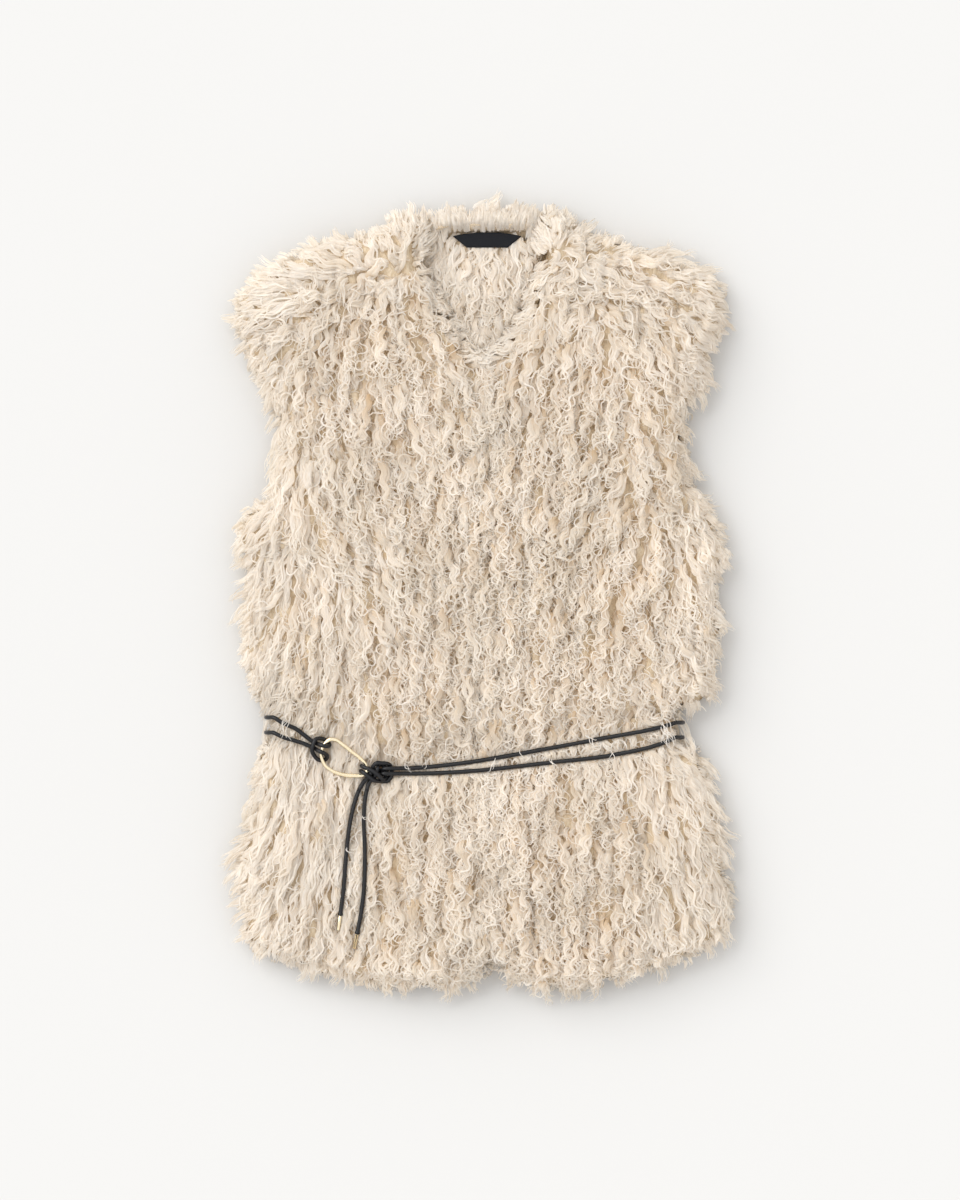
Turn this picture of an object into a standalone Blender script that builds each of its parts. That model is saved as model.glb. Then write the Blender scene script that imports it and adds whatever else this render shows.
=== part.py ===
"""A sleeveless faux fur vest with a cord belt, laid flat on its back.

Metres, +Z up. The vest lies on the plane z = 0 with its neck towards +Y and its front facing +Z.
The origin is under the middle of the garment's box. Lengths in the tables below are in millimetres.
Each fur panel is one solid of cloth and pile together, so it reaches as far as its fur does.
"""

import math

import bmesh
import bpy
import numpy as np

MM = 0.001
SHARP_ANGLE = math.radians(50)

# Thicknesses and levels, in millimetres
SEAM_GAP = 0.4
CLOTH = 2.0
BACK_PILE = 12.0
FRONT_PILE = 26.0
FACING_PILE = 8.0
BACK_TOP = BACK_PILE + CLOTH
FRONT_INNER = BACK_TOP + SEAM_GAP
BELT_BED = 34.0

# How far in from an edge the pile takes to reach its full height
OUTER_ROUND = 30.0
OPENING_ROUND = 15.0
OPENING_SHARE = 0.42
UNDER_ROUND = 20.0
FACING_ROUND = 10.0

# Locks: hanging clumps of pile, raised on every second column, in rows set off from each other
LOCK_RISE = (5.0, 4.6, 3.4, 1.8, 0.4)
LOCK_VALLEY = -1.2
LOCK_ROW_SHIFTS = 3
LOCK_SWAY = 2.5
LOCK_SWAY_ROWS = 6.5
LOCK_SWAY_COLUMNS = 5.0

# Columns of the panels' grids, and the longest step between their rows
FRONT_COLUMNS = 21
BACK_COLUMNS = 34
ROW_STEP = 14.5
FACING_GRID = (8, 11)

# Belt
CORD = 4.0
CORD_SIDES = 2
CORD_DEVIATION = 0.15
RING_WIRE = 3.0
TIP_WIDTH = 3.2
TIP_LENGTH = 14.0
BELT_BED_REACH = 18.0
BELT_BED_SLOPE = 0.9
GROOVE_DEPTH = 5.4
GROOVE_LENGTH = 600.0
GROOVE_Y = (-136.5, -108.5)
CORD_ON_BED = BELT_BED + SEAM_GAP + CORD / 2
CORD_UNDER = SEAM_GAP + CORD / 2

# The fur's reach at the sides, from the hem's corners to the shoulder tips
SIDE_COLUMNS = ("y", "left", "right")
SIDE_SECTIONS = (
    (-329, -232, 222),
    (-300, -232, 239),
    (-258, -239, 233),
    (-229, -230, 227),
    (-187, -222, 221),
    (-158, -221, 213),
    (-143, -216, 205),
    (-138, -203, 185),
    (-108, -203, 185),
    (-103, -221, 210),
    (-87, -220, 222),
    (-58, -232, 220),
    (-30, -232, 229),
    (-1, -230, 223),
    (27, -226, 228),
    (41, -235, 235),
    (56, -238, 227),
    (82, -232, 218),
    (98, -206, 208),
    (113, -200, 198),
    (141, -197, 193),
    (170, -200, 193),
    (184, -208, 198),
    (198, -214, 214),
    (227, -225, 216),
    (255, -237, 230),
    (284, -239, 232),
    (300, -230, 226),
)

# Outlines as (x, y), each from the garment's middle outwards
HEM_LEFT = ((7, -352), (0, -366), (-30, -375), (-95, -374), (-161, -360), (-207, -344), (-232, -329))
HEM_RIGHT = ((13, -352), (22, -366), (50, -375), (95, -373), (156, -359), (200, -343), (222, -329))
HEM_BACK = (
    (-232, -329), (-207, -340), (-161, -352), (-95, -358), (5, -354), (95, -358), (156, -352), (200, -340),
    (222, -329),
)
SHOULDER_LEFT = (
    (-53, 351), (-57, 366), (-74, 368), (-91, 365), (-98, 353), (-130, 347), (-166, 338), (-190, 325),
    (-216, 313), (-230, 300),
)
SHOULDER_RIGHT = (
    (55, 351), (58, 369), (70, 371), (82, 367), (88, 354), (110, 348), (134, 343), (166, 328), (209, 314),
    (226, 300),
)
NECK_LEFT = ((-53, 351), (-57, 322), (-51, 291), (-34, 260), (-16, 237), (0, 221))
NECK_RIGHT = ((55, 351), (54, 322), (48, 291), (33, 260), (18, 237), (3, 221))
NECK_BACK = ((-57, 366), (-30, 373), (-5, 375), (40, 375), (58, 369))
BACK_TOP_EDGE = (*reversed(SHOULDER_LEFT[2:]), *NECK_BACK, *SHOULDER_RIGHT[2:])
FRONT_HALF_GAP = 0.3
HEM_NOTCH_TOP = -325.0
MIDDLE_X = (10.0, 1.5)

# The back's pile turns over at the neck seam and stands higher there, as a roll
ROLL_HEIGHT = 16.0
ROLL_LOW = ((-49, 350), (1, 349.4), (51, 350))
ROLL_HIGH = ((-49, 366.5), (-30, 371.5), (-5, 374), (40, 373.5), (51, 370.5))
ROLL_RIM = 3.0
ROLL_ROUND = 9.0
ROLL_GRID = (12, 4)

# Neck label, a trapezium whose upper edge is bowed like the neck seam
LABEL_OUTLINE = (
    (-30, 345), (-20, 347), (-8, 348.4), (14, 348.4), (26, 347), (36, 345), (22.5, 334), (-16.5, 334),
)
LABEL_THICKNESS = 0.8
LABEL_BED = 19.6
LABEL_BED_LOW = 320.0

# The facing fills the neck opening, clear of the fronts' edges
FACING_INSET = 1.2
FACING_TOP = 349.0
FACING_LOWEST = (1.5, 228.0)

# Materials: linear colour, roughness, metallic
MATERIALS = {
    "fur": ((0.76, 0.65, 0.50), 0.9, 0.0),
    "cord": ((0.012, 0.012, 0.013), 0.42, 0.0),
    "gold": ((0.86, 0.68, 0.38), 0.2, 1.0),
    "label": ((0.015, 0.016, 0.02), 0.8, 0.0),
}


def middle_line(y):
    """The x of the line where the two fronts meet, from under the neck to the top of the hem's notch."""
    return np.interp(y, (HEM_NOTCH_TOP, NECK_LEFT[-1][1]), MIDDLE_X)


def side(name):
    """One side's outline from the hem's corner up to the shoulder tip."""
    column = SIDE_COLUMNS.index(name)
    return [(row[column], row[0]) for row in SIDE_SECTIONS]


def front_edge(neck, sign):
    """A front's inner edge: up the opening from the hem, then round the neck to the shoulder."""
    hem = HEM_LEFT[0] if sign < 0 else HEM_RIGHT[0]
    opening = [(middle_line(y) + sign * FRONT_HALF_GAP, y) for y in (HEM_NOTCH_TOP, 0.0)]
    return [hem, *opening, *reversed(neck)]


def along(points, share):
    """The point at that share of an open line's length."""
    line = np.array(points, float)
    steps = np.concatenate([[0.0], np.cumsum(np.linalg.norm(np.diff(line, axis=0), axis=1))])
    at = share * steps[-1]
    return np.array([np.interp(at, steps, line[:, axis]) for axis in range(line.shape[1])])


def level(points, share):
    """The point at that share of a rising line's height."""
    line = np.array(points, float)
    y = line[0, 1] + share * (line[-1, 1] - line[0, 1])
    return np.array([np.interp(y, line[:, 1], line[:, 0]), y])


def row_shares():
    """The share of the side's height at each row: one at each section, and more between far ones."""
    levels = [row[0] for row in SIDE_SECTIONS]
    rows = [levels[0]]
    for low, high in zip(levels, levels[1:]):
        rows.extend(np.linspace(low, high, math.ceil((high - low) / ROW_STEP) + 1)[1:])
    return [(y - levels[0]) / (levels[-1] - levels[0]) for y in rows]


def patch(hem, top, inner, outer, u, v):
    """A Coons patch: the point of a panel at u across it and v up it, from its four edges."""
    across = (1 - v) * along(hem, u) + v * along(top, u)
    up = (1 - u) * level(inner, v) + u * level(outer, v)
    low = (1 - u) * np.array(hem[0], float) + u * np.array(hem[-1], float)
    high = (1 - u) * np.array(top[0], float) + u * np.array(top[-1], float)
    return across + up - (1 - v) * low - v * high


def distance_to(point, line):
    """How far a point is from an open line."""
    line = np.array(line, float)
    start, step = line[:-1], np.diff(line, axis=0)
    share = np.clip(((point - start) * step).sum(1) / (step**2).sum(1), 0, 1)
    return float(np.linalg.norm(start + share[:, None] * step - point, axis=1).min())


def rounded(distance, reach):
    """Rises as a quarter ellipse from 0 at an edge to 1 at that reach from it."""
    left = 1 - min(distance / reach, 1.0)
    return math.sqrt(max(0.0, 1 - left * left))


def thinned(line, deviation):
    """The fewest of the line's own points that keep it within the deviation."""
    if len(line) < 3:
        return list(line)
    way = line[-1] - line[0]
    share = np.clip((line - line[0]) @ way / max(way @ way, 1e-9), 0, 1)
    off = np.linalg.norm(line[0] + share[:, None] * way - line, axis=1)
    worst = int(off.argmax())
    if off[worst] < deviation:
        return [line[0], line[-1]]
    return thinned(line[: worst + 1], deviation)[:-1] + thinned(line[worst:], deviation)


def smooth(points, deviation=CORD_DEVIATION):
    """A line through the points, as cubic Hermite pieces, with only as many points as its bends need."""
    line = np.array(points, float)
    at = np.concatenate([[0.0], np.cumsum(np.linalg.norm(np.diff(line, axis=0), axis=1))])
    slope = np.gradient(line, at, axis=0)
    fine = []
    for k, reach in enumerate(np.diff(at)):
        for t in np.linspace(0, 1, 16, endpoint=False):
            start = (1 + 2 * t) * (1 - t) ** 2 * line[k] + t * (1 - t) ** 2 * reach * slope[k]
            end = t * t * (3 - 2 * t) * line[k + 1] + t * t * (t - 1) * reach * slope[k + 1]
            fine.append(start + end)
    fine.append(line[-1])
    return thinned(np.array(fine), deviation)


# The belt's routes, as x, y and rise above the level of a cord that lies on its bed of pile

RING_RISE = 4.2
RING_POINTS = (
    (-150.5, -137, 0), (-146, -133.5, 0), (-140.5, -134, 0), (-135, -137.5, 0), (-125.5, -145, 0),
    (-116, -152.5, 0), (-112, -157.5, 0), (-111, -163, 0), (-115, -167.5, 0), (-121, -168, 0),
    (-133, -167, 0), (-144.5, -163, 0), (-150, -159, 0), (-153, -154, 0), (-154.5, -148, 0),
    (-153.5, -142, 0),
)

# The hitch on the ring's left end, from the upper strand to the lower one
HITCH_POINTS = (
    (-170, -130, 0), (-163.5, -135, 0), (-159.5, -137, 0.5), (-157, -138, 3), (-155.5, -138.5, 7),
    (-152, -139.5, 8.5), (-148.5, -140, 6.5), (-146.5, -139, 3), (-149, -135, 0), (-154, -133, 0.5),
    (-159.5, -133.5, 4), (-162, -139, 5), (-163, -144, 4.5), (-161, -149, 1), (-157, -153, 0),
    (-151, -153, 0), (-148.5, -150.5, 1.5), (-150, -147.5, 5.5), (-154, -145.5, 8.5), (-157.5, -144, 6.5),
    (-159, -143, 2.8), (-161, -142, 0.6), (-164.5, -140.5, 0), (-171.5, -137.5, 0),
)

# The half hitch on the ring's right end, a table for each strand, from the waist to its tail
KNOT_UPPER = (
    (-71, -161, 0), (-78, -161, 0.5), (-84, -161, 3.6), (-90, -161, 5.2), (-95, -161.5, 4.5),
    (-98, -163, 0.8), (-103, -162, 0), (-111, -161, 0), (-115, -159.5, 1.5), (-116, -158.5, 5),
    (-113, -160, 8), (-108, -162, 9), (-103, -165, 9.5), (-99, -168.5, 8.5), (-96, -171, 6),
    (-93.5, -170, 2.5), (-92.5, -165.5, 0), (-93.5, -160.5, 0), (-97, -158, 0.5), (-99.5, -158, 2.5),
    (-101, -161, 4.8), (-102, -165, 4.8), (-103.5, -169, 4.5), (-106, -171.5, 1.5), (-109, -175, 0),
    (-111, -181, 0),
)
KNOT_LOWER = (
    (-71, -166, 0), (-78, -166, 0.5), (-84, -166, 3.5), (-90, -166, 5.5), (-95.5, -166, 5.8),
    (-98.5, -167.5, 2.5), (-102, -167.5, 0), (-108, -166.5, 0), (-113.5, -165.5, 0), (-116.5, -164, 2),
    (-116.5, -163.5, 5.5), (-114, -165, 8.2), (-109, -169, 9), (-104, -172.5, 7.5), (-99.5, -173, 3.5),
    (-96, -173.5, 0.8), (-91.5, -173, 0), (-88.5, -169.5, 0), (-87.5, -164, 0), (-88.5, -159, 0.5),
    (-92, -156.5, 3.5), (-97, -156, 6), (-102, -156, 7), (-105, -159, 5.8), (-106.5, -163, 4.8),
    (-108, -167, 4.8), (-111, -170.5, 2.5), (-114.5, -174.5, 0.3), (-118.5, -181.5, 0),
)

TAIL_LEFT = (
    KNOT_LOWER[-1], (-122, -191, 0), (-126, -207, 0), (-131, -246, 0), (-133.5, -278, 0), (-136.5, -301, 0),
)
TAIL_RIGHT = (
    KNOT_UPPER[-1], (-113, -192, 0), (-114, -207, 0), (-113, -238, 0), (-113.5, -269, 0), (-116.5, -298, 0),
    (-120.5, -318.5, 0),
)

# The strands on the front, from the sides to the ring's two ends
FRONT_STRANDS = {
    "upper": {
        "left": ((-192, -117.5, 0), (-178, -124, 0)),
        "right": ((175, -120, 0), (108, -133.5, 0), (52, -144, 0), (-23, -156.5, 0), (-62, -160.5, 0)),
        "side_y": (-113.0, -118.0),
    },
    "lower": {
        "left": ((-192, -131, 0), (-179, -135, 0)),
        "right": ((175, -135, 0), (122, -148.5, 0), (64, -155.5, 0), (-23, -164.5, 0), (-62, -166, 0)),
        "side_y": (-127.5, -132.0),
    },
}

# How a strand goes round the sides, as distance out from the edge and height, from the front to the back
EDGE_X = (-203.0, 185.0)
ROUND_SIDE = ((-3.5, 35), (2, 29), (4.6, 18), (3.4, 9.5), (-2, 4.2), (-9, 2.6))
UNDER_X = (-180, -90, 0, 90, 162)


def bed(points, lift=0.0):
    """Route points put at their height above the bed that the cords lie on."""
    return [(x, y, CORD_ON_BED + rise + lift) for x, y, rise in points]


def strand(name):
    """A strand from the hitch, round the left side, under the back and up the right side to the knot."""
    route = FRONT_STRANDS[name]
    left_y, right_y = route["side_y"]
    down = [(EDGE_X[0] - out, left_y, z) for out, z in ROUND_SIDE]
    under = [(x, np.interp(x, EDGE_X, route["side_y"]), CORD_UNDER) for x in UNDER_X]
    up = [(EDGE_X[1] + out, right_y, z) for out, z in reversed(ROUND_SIDE)]
    return [*reversed(bed(route["left"])), *down, *under, *up, *bed(route["right"])]


def belt_bed_distance(x, y):
    """How far a point of the front is from what the belt, its ring and its tails cover."""
    covered = [RING_POINTS, KNOT_LOWER, TAIL_LEFT, TAIL_RIGHT]
    for route in FRONT_STRANDS.values():
        left_y, right_y = route["side_y"]
        covered.append([(EDGE_X[0], left_y), *[p[:2] for p in route["left"]], HITCH_POINTS[0][:2]])
        covered.append([(EDGE_X[1], right_y), *[p[:2] for p in route["right"]]])
    return min(distance_to((x, y), [point[:2] for point in line]) for line in covered)


def lock_relief(column, row, shifts):
    """How far a lock stands out of the pile, or a valley between two locks lies in it."""
    if column % 2 == 0:
        return LOCK_VALLEY
    return LOCK_RISE[(row + 2 * (column // 2 % shifts)) % len(LOCK_RISE)]


def front_height(x, y, column, row, outer, inner):
    """The height of a front's pile over a point."""
    at_opening = OPENING_SHARE + (1 - OPENING_SHARE) * rounded(distance_to((x, y), inner), OPENING_ROUND)
    shape = min(rounded(distance_to((x, y), outer), OUTER_ROUND), at_opening)
    height = FRONT_INNER + CLOTH + (FRONT_PILE + lock_relief(column, row, LOCK_ROW_SHIFTS)) * shape
    from_belt = max(0.0, belt_bed_distance(x, y) - BELT_BED_REACH)
    return min(height, BELT_BED + BELT_BED_SLOPE * from_belt)


def material(name):
    """A Principled BSDF material from the table."""
    colour, roughness, metallic = MATERIALS[name]
    made = bpy.data.materials.get(name) or bpy.data.materials.new(name)
    made.use_nodes = True
    made.diffuse_color = (*colour, 1.0)
    shader = made.node_tree.nodes["Principled BSDF"]
    shader.inputs["Base Color"].default_value = (*colour, 1.0)
    shader.inputs["Roughness"].default_value = roughness
    shader.inputs["Metallic"].default_value = metallic
    return made


def add(name, data, finish, collection):
    """Links a new object for one piece of the vest."""
    piece = bpy.data.objects.new(name, data)
    data.materials.append(material(finish))
    collection.objects.link(piece)
    return piece


def grid_mesh(columns, rows, place):
    """A grid whose point at column i and row j lies at place(i, j), in millimetres."""
    shell = bmesh.new()
    bmesh.ops.create_grid(shell, x_segments=columns, y_segments=rows, size=0.5)
    for point in shell.verts:
        i = round((point.co.x + 0.5) * columns)
        j = round((point.co.y + 0.5) * rows)
        point.co = [c * MM for c in place(i, j)]
    return shell


def close_below(shell, level):
    """Drops a skirt from the grid's border to a level, and closes it there."""
    border = [edge for edge in shell.edges if edge.is_boundary]
    made = bmesh.ops.extrude_edge_only(shell, edges=border)["geom"]
    for point in (g for g in made if isinstance(g, bmesh.types.BMVert)):
        point.co.z = level * MM
    rim = [g for g in made if isinstance(g, bmesh.types.BMEdge) and g.is_boundary]
    bmesh.ops.edgeloop_fill(shell, edges=rim)


def finish_mesh(shell, name):
    """Turns a closed shell into a mesh with its faces outwards."""
    bmesh.ops.recalc_face_normals(shell, faces=shell.faces)
    mesh = bpy.data.meshes.new(name)
    shell.to_mesh(mesh)
    shell.free()
    mesh.shade_smooth()
    mesh.set_sharp_from_angle(angle=SHARP_ANGLE)
    return mesh


def front_panel(name, sign, collection):
    """A front: sign is -1 for the one on -X and 1 for the one on +X."""
    hem = HEM_LEFT if sign < 0 else HEM_RIGHT
    shoulder = SHOULDER_LEFT if sign < 0 else SHOULDER_RIGHT
    edge = side("left" if sign < 0 else "right")
    inner = front_edge(NECK_LEFT if sign < 0 else NECK_RIGHT, sign)
    outer = [*hem, *edge[1:], *reversed(shoulder[:-1])]
    columns, shares = FRONT_COLUMNS, row_shares()
    rows = len(shares) - 1

    def place(i, j):
        x, y = patch(hem, shoulder, inner, edge, i / columns, shares[j])
        if 0 < i < columns and 0 < j < rows:
            x += LOCK_SWAY * math.sin(2 * math.pi * (j / LOCK_SWAY_ROWS + i / LOCK_SWAY_COLUMNS))
        return x, y, front_height(x, y, i, j, outer, inner)

    shell = grid_mesh(columns, rows, place)
    close_below(shell, FRONT_INNER)
    return add(name, finish_mesh(shell, name), "fur", collection)


def back_panel(collection):
    """The back: pile below, flat where it rests and grooved for the belt, and its inner face above."""
    left, right = side("left"), side("right")
    outline = [*left, *BACK_TOP_EDGE[1:-1], *reversed(right), *reversed(HEM_BACK[:-1])]
    columns, shares = BACK_COLUMNS, row_shares()
    rows = len(shares) - 1

    def flat_place(i, j):
        return patch(HEM_BACK, BACK_TOP_EDGE, left, right, i / columns, shares[j])

    def above(i, j):
        return *flat_place(i, j), BACK_TOP

    def below(i, j):
        x, y = flat_place(i, j)
        edge = rounded(distance_to((x, y), outline), UNDER_ROUND)
        return x, y, (BACK_TOP - CLOTH) * (1 - edge)

    shell = grid_mesh(columns, rows, above)
    lower = grid_mesh(columns, rows, below)
    mesh = bpy.data.meshes.new("back_underside")
    bmesh.ops.reverse_faces(lower, faces=lower.faces)
    lower.to_mesh(mesh)
    lower.free()
    shell.from_mesh(mesh)
    bpy.data.meshes.remove(mesh)
    bmesh.ops.bridge_loops(shell, edges=[edge for edge in shell.edges if edge.is_boundary])
    panel = add("back_panel", finish_mesh(shell, "back_panel"), "fur", collection)
    for former, operation in ((neck_roll(collection), "UNION"), (belt_groove(collection), "DIFFERENCE")):
        change = panel.modifiers.new(former.name, "BOOLEAN")
        change.operation = operation
        change.solver = "EXACT"
        change.object = former
    return panel


def belt_groove(collection):
    """The hidden box that clears the way for the belt under the back."""
    shell = bmesh.new()
    bmesh.ops.create_cube(shell, size=1.0)
    groove = add("belt_groove_former", finish_mesh(shell, "belt_groove_former"), "fur", collection)
    groove.scale = (GROOVE_LENGTH * MM, (GROOVE_Y[1] - GROOVE_Y[0]) * MM, 2 * GROOVE_DEPTH * MM)
    groove.location.y = sum(GROOVE_Y) / 2 * MM
    groove.hide_render = True
    return groove


def neck_roll(collection):
    """The hidden solid that raises the back's pile over its neck seam."""
    columns, rows = ROLL_GRID
    left, right = (ROLL_LOW[0], ROLL_HIGH[0]), (ROLL_LOW[-1], ROLL_HIGH[-1])
    outline = [*ROLL_LOW, *reversed(ROLL_HIGH), ROLL_LOW[0]]

    def place(i, j):
        x, y = patch(ROLL_LOW, ROLL_HIGH, left, right, i / columns, j / rows)
        shape = rounded(distance_to((x, y), outline), ROLL_ROUND)
        return x, y, BACK_TOP + ROLL_RIM + (ROLL_HEIGHT - ROLL_RIM + lock_relief(i, j, 2) / 2) * shape

    shell = grid_mesh(columns, rows, place)
    close_below(shell, BACK_TOP - CLOTH)
    roll = add("neck_roll_former", finish_mesh(shell, "neck_roll_former"), "fur", collection)
    roll.hide_render = True
    return roll


def back_neck_facing(collection):
    """The furred inside of the back neck, which fills the neck opening."""
    left = [(x + FACING_INSET, min(y, FACING_TOP)) for x, y in reversed(NECK_LEFT[:-1])]
    right = [(x - FACING_INSET, min(y, FACING_TOP)) for x, y in reversed(NECK_RIGHT[:-1])]
    low = [left[0], FACING_LOWEST, right[0]]
    high = [left[-1], right[-1]]
    outline = [*left, *reversed(right), FACING_LOWEST, left[0]]
    columns, rows = FACING_GRID

    def place(i, j):
        x, y = patch(low, high, left, right, i / columns, j / rows)
        shape = rounded(distance_to((x, y), outline), FACING_ROUND)
        height = FRONT_INNER + CLOTH + (FACING_PILE + lock_relief(i, j, 2) / 2) * shape
        return x, y, min(height, LABEL_BED) if y > LABEL_BED_LOW else height

    shell = grid_mesh(columns, rows, place)
    close_below(shell, FRONT_INNER)
    return add("back_neck_facing", finish_mesh(shell, "back_neck_facing"), "fur", collection)


def neck_label(collection):
    """The blank label, as a filled outline with its thickness."""
    outline = bpy.data.curves.new("neck_label", "CURVE")
    outline.dimensions = "2D"
    outline.fill_mode = "BOTH"
    outline.extrude = LABEL_THICKNESS / 2 * MM
    spline = outline.splines.new("POLY")
    spline.points.add(len(LABEL_OUTLINE) - 1)
    for point, (x, y) in zip(spline.points, LABEL_OUTLINE):
        point.co = (x * MM, y * MM, 0, 1)
    spline.use_cyclic_u = True
    label = add("neck_label", outline, "label", collection)
    label.location.z = (LABEL_BED + SEAM_GAP + LABEL_THICKNESS / 2) * MM
    return label


def tube(name, points, width, finish, collection, cyclic=False):
    """A round cord or wire through the points, in millimetres."""
    line = bpy.data.curves.new(name, "CURVE")
    line.dimensions = "3D"
    line.bevel_depth = width / 2 * MM
    line.bevel_resolution = CORD_SIDES
    line.use_fill_caps = not cyclic
    spline = line.splines.new("POLY")
    spline.points.add(len(points) - 1)
    for point, co in zip(spline.points, points):
        point.co = (*[c * MM for c in co], 1)
    spline.use_cyclic_u = cyclic
    return add(name, line, finish, collection)


def shortened(points):
    """The line with its ends drawn back by the gap that parts it from its neighbours."""
    line = np.array(points, float)
    for end, inside in ((0, 1), (-1, -2)):
        way = line[inside] - line[end]
        line[end] += SEAM_GAP * way / np.linalg.norm(way)
    return line


def belt(collection):
    """The belt: its ring, the doubled cord, the knot, and two tails with their tips."""
    ring = smooth(bed([*RING_POINTS, RING_POINTS[0]], RING_RISE))[:-1]
    tube("belt_ring", ring, RING_WIRE, "gold", collection, cyclic=True)

    hitch = bed(HITCH_POINTS)
    upper = [*reversed(strand("upper")), *hitch]
    doubled = [bed(KNOT_UPPER)[0], *upper, *strand("lower"), bed(KNOT_LOWER)[0]]
    tube("belt_cord", shortened(smooth(doubled)), CORD, "cord", collection)
    tube("belt_knot_upper", smooth(bed(KNOT_UPPER)), CORD, "cord", collection)
    tube("belt_knot_lower", smooth(bed(KNOT_LOWER)), CORD, "cord", collection)

    for name, route in (("belt_tail_left", TAIL_LEFT), ("belt_tail_right", TAIL_RIGHT)):
        line = shortened(smooth(bed(route)))
        tube(name, line, CORD, "cord", collection)
        way = line[-1] - line[-2]
        way /= np.linalg.norm(way)
        start = line[-1] + SEAM_GAP * way
        tube(name.replace("tail", "tip"), [start, start + TIP_LENGTH * way], TIP_WIDTH, "gold", collection)


def main():
    for old in list(bpy.data.objects):
        bpy.data.objects.remove(old)
    vest = bpy.data.collections.new("fur_vest")
    bpy.context.scene.collection.children.link(vest)
    back_panel(vest)
    front_panel("front_right_panel", -1, vest)
    front_panel("front_left_panel", 1, vest)
    back_neck_facing(vest)
    neck_label(vest)
    belt(vest)


main()
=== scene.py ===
"""The looks of a sleeveless faux fur vest with a cord belt, laid flat on its back.

Metres, +Z up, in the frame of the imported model: the neck is towards +Y and the front faces +Z.
Each fur panel is a soft undercoat with thousands of curling strands on it, drawn as thin ribbons.
"""

import math
from types import SimpleNamespace

import bmesh
import bpy
import numpy as np
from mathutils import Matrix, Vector, noise
from mathutils.bvhtree import BVHTree
from mathutils.kdtree import KDTree


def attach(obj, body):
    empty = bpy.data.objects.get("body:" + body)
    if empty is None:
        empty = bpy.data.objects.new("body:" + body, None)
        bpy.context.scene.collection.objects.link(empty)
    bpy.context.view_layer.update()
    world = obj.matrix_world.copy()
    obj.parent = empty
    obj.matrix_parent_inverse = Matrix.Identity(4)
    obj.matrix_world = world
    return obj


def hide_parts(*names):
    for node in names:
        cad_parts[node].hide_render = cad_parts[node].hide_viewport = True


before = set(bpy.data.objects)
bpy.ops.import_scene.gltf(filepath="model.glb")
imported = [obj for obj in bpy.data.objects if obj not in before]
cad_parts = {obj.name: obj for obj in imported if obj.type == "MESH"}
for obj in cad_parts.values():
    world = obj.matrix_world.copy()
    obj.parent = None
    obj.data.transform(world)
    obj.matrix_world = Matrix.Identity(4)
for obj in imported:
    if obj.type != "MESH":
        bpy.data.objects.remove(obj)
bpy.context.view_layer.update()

# The photograph's frame: its real height at the height of the pile, and its middle
FRAME_HEIGHT = 1.14
FRAME_MIDDLE = (-0.0038, -0.0014)
FRAME_LEVEL = 0.03
CAMERA_DISTANCE = 5.0
SENSOR = 36.0

# The belt's cord and ring, and how closely their lines are followed
CORD = 0.004
CORD_SIDES = 16
CORD_LEVEL = 0.0364
CORD_UNDER = 0.0024
CORD_RIB = 0.0011
RING_WIRE = 0.0034
RING_UNEVEN = 0.1
LINE_DEVIATION = 0.00003
LINE_STEPS = 16

# The belt's routes, as x, y and rise above the level of a cord that lies on its bed of pile
RING_RISE = 0.0042
RING_POINTS = (
    (-0.1505, -0.137, 0), (-0.146, -0.1335, 0), (-0.1405, -0.134, 0), (-0.135, -0.1375, 0),
    (-0.1255, -0.145, 0), (-0.116, -0.1525, 0), (-0.112, -0.1575, 0), (-0.111, -0.163, 0),
    (-0.115, -0.1675, 0), (-0.121, -0.168, 0), (-0.133, -0.167, 0), (-0.1445, -0.163, 0),
    (-0.15, -0.159, 0), (-0.153, -0.154, 0), (-0.1545, -0.148, 0), (-0.1535, -0.142, 0),
)

# The hitch on the ring's left end, from the upper strand to the lower one
HITCH_POINTS = (
    (-0.17, -0.13, 0), (-0.1635, -0.135, 0), (-0.1595, -0.137, 0.0005), (-0.157, -0.138, 0.003),
    (-0.1555, -0.1385, 0.007), (-0.152, -0.1395, 0.0085), (-0.1485, -0.14, 0.0065),
    (-0.1465, -0.139, 0.003), (-0.149, -0.135, 0), (-0.154, -0.133, 0.0005), (-0.1595, -0.1335, 0.004),
    (-0.162, -0.139, 0.005), (-0.163, -0.144, 0.0045), (-0.161, -0.149, 0.001), (-0.157, -0.153, 0),
    (-0.151, -0.153, 0), (-0.1485, -0.1505, 0.0015), (-0.15, -0.1475, 0.0055), (-0.154, -0.1455, 0.0085),
    (-0.1575, -0.144, 0.0065), (-0.159, -0.143, 0.0028), (-0.161, -0.142, 0.0006), (-0.1645, -0.1405, 0),
    (-0.1715, -0.1375, 0),
)

# The half hitch on the ring's right end, a table for each strand, from the waist to its tail
KNOT_UPPER = (
    (-0.071, -0.161, 0), (-0.078, -0.161, 0.0005), (-0.084, -0.161, 0.0036), (-0.09, -0.161, 0.0052),
    (-0.095, -0.1615, 0.0045), (-0.098, -0.163, 0.0008), (-0.103, -0.162, 0), (-0.111, -0.161, 0),
    (-0.115, -0.1595, 0.0015), (-0.116, -0.1585, 0.005), (-0.113, -0.16, 0.008), (-0.108, -0.162, 0.009),
    (-0.103, -0.165, 0.0095), (-0.099, -0.1685, 0.0085), (-0.096, -0.171, 0.006), (-0.0935, -0.17, 0.0025),
    (-0.0925, -0.1655, 0), (-0.0935, -0.1605, 0), (-0.097, -0.158, 0.0005), (-0.0995, -0.158, 0.0025),
    (-0.101, -0.161, 0.0048), (-0.102, -0.165, 0.0048), (-0.1035, -0.169, 0.0045),
    (-0.106, -0.1715, 0.0015), (-0.109, -0.175, 0), (-0.111, -0.181, 0),
)
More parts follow.
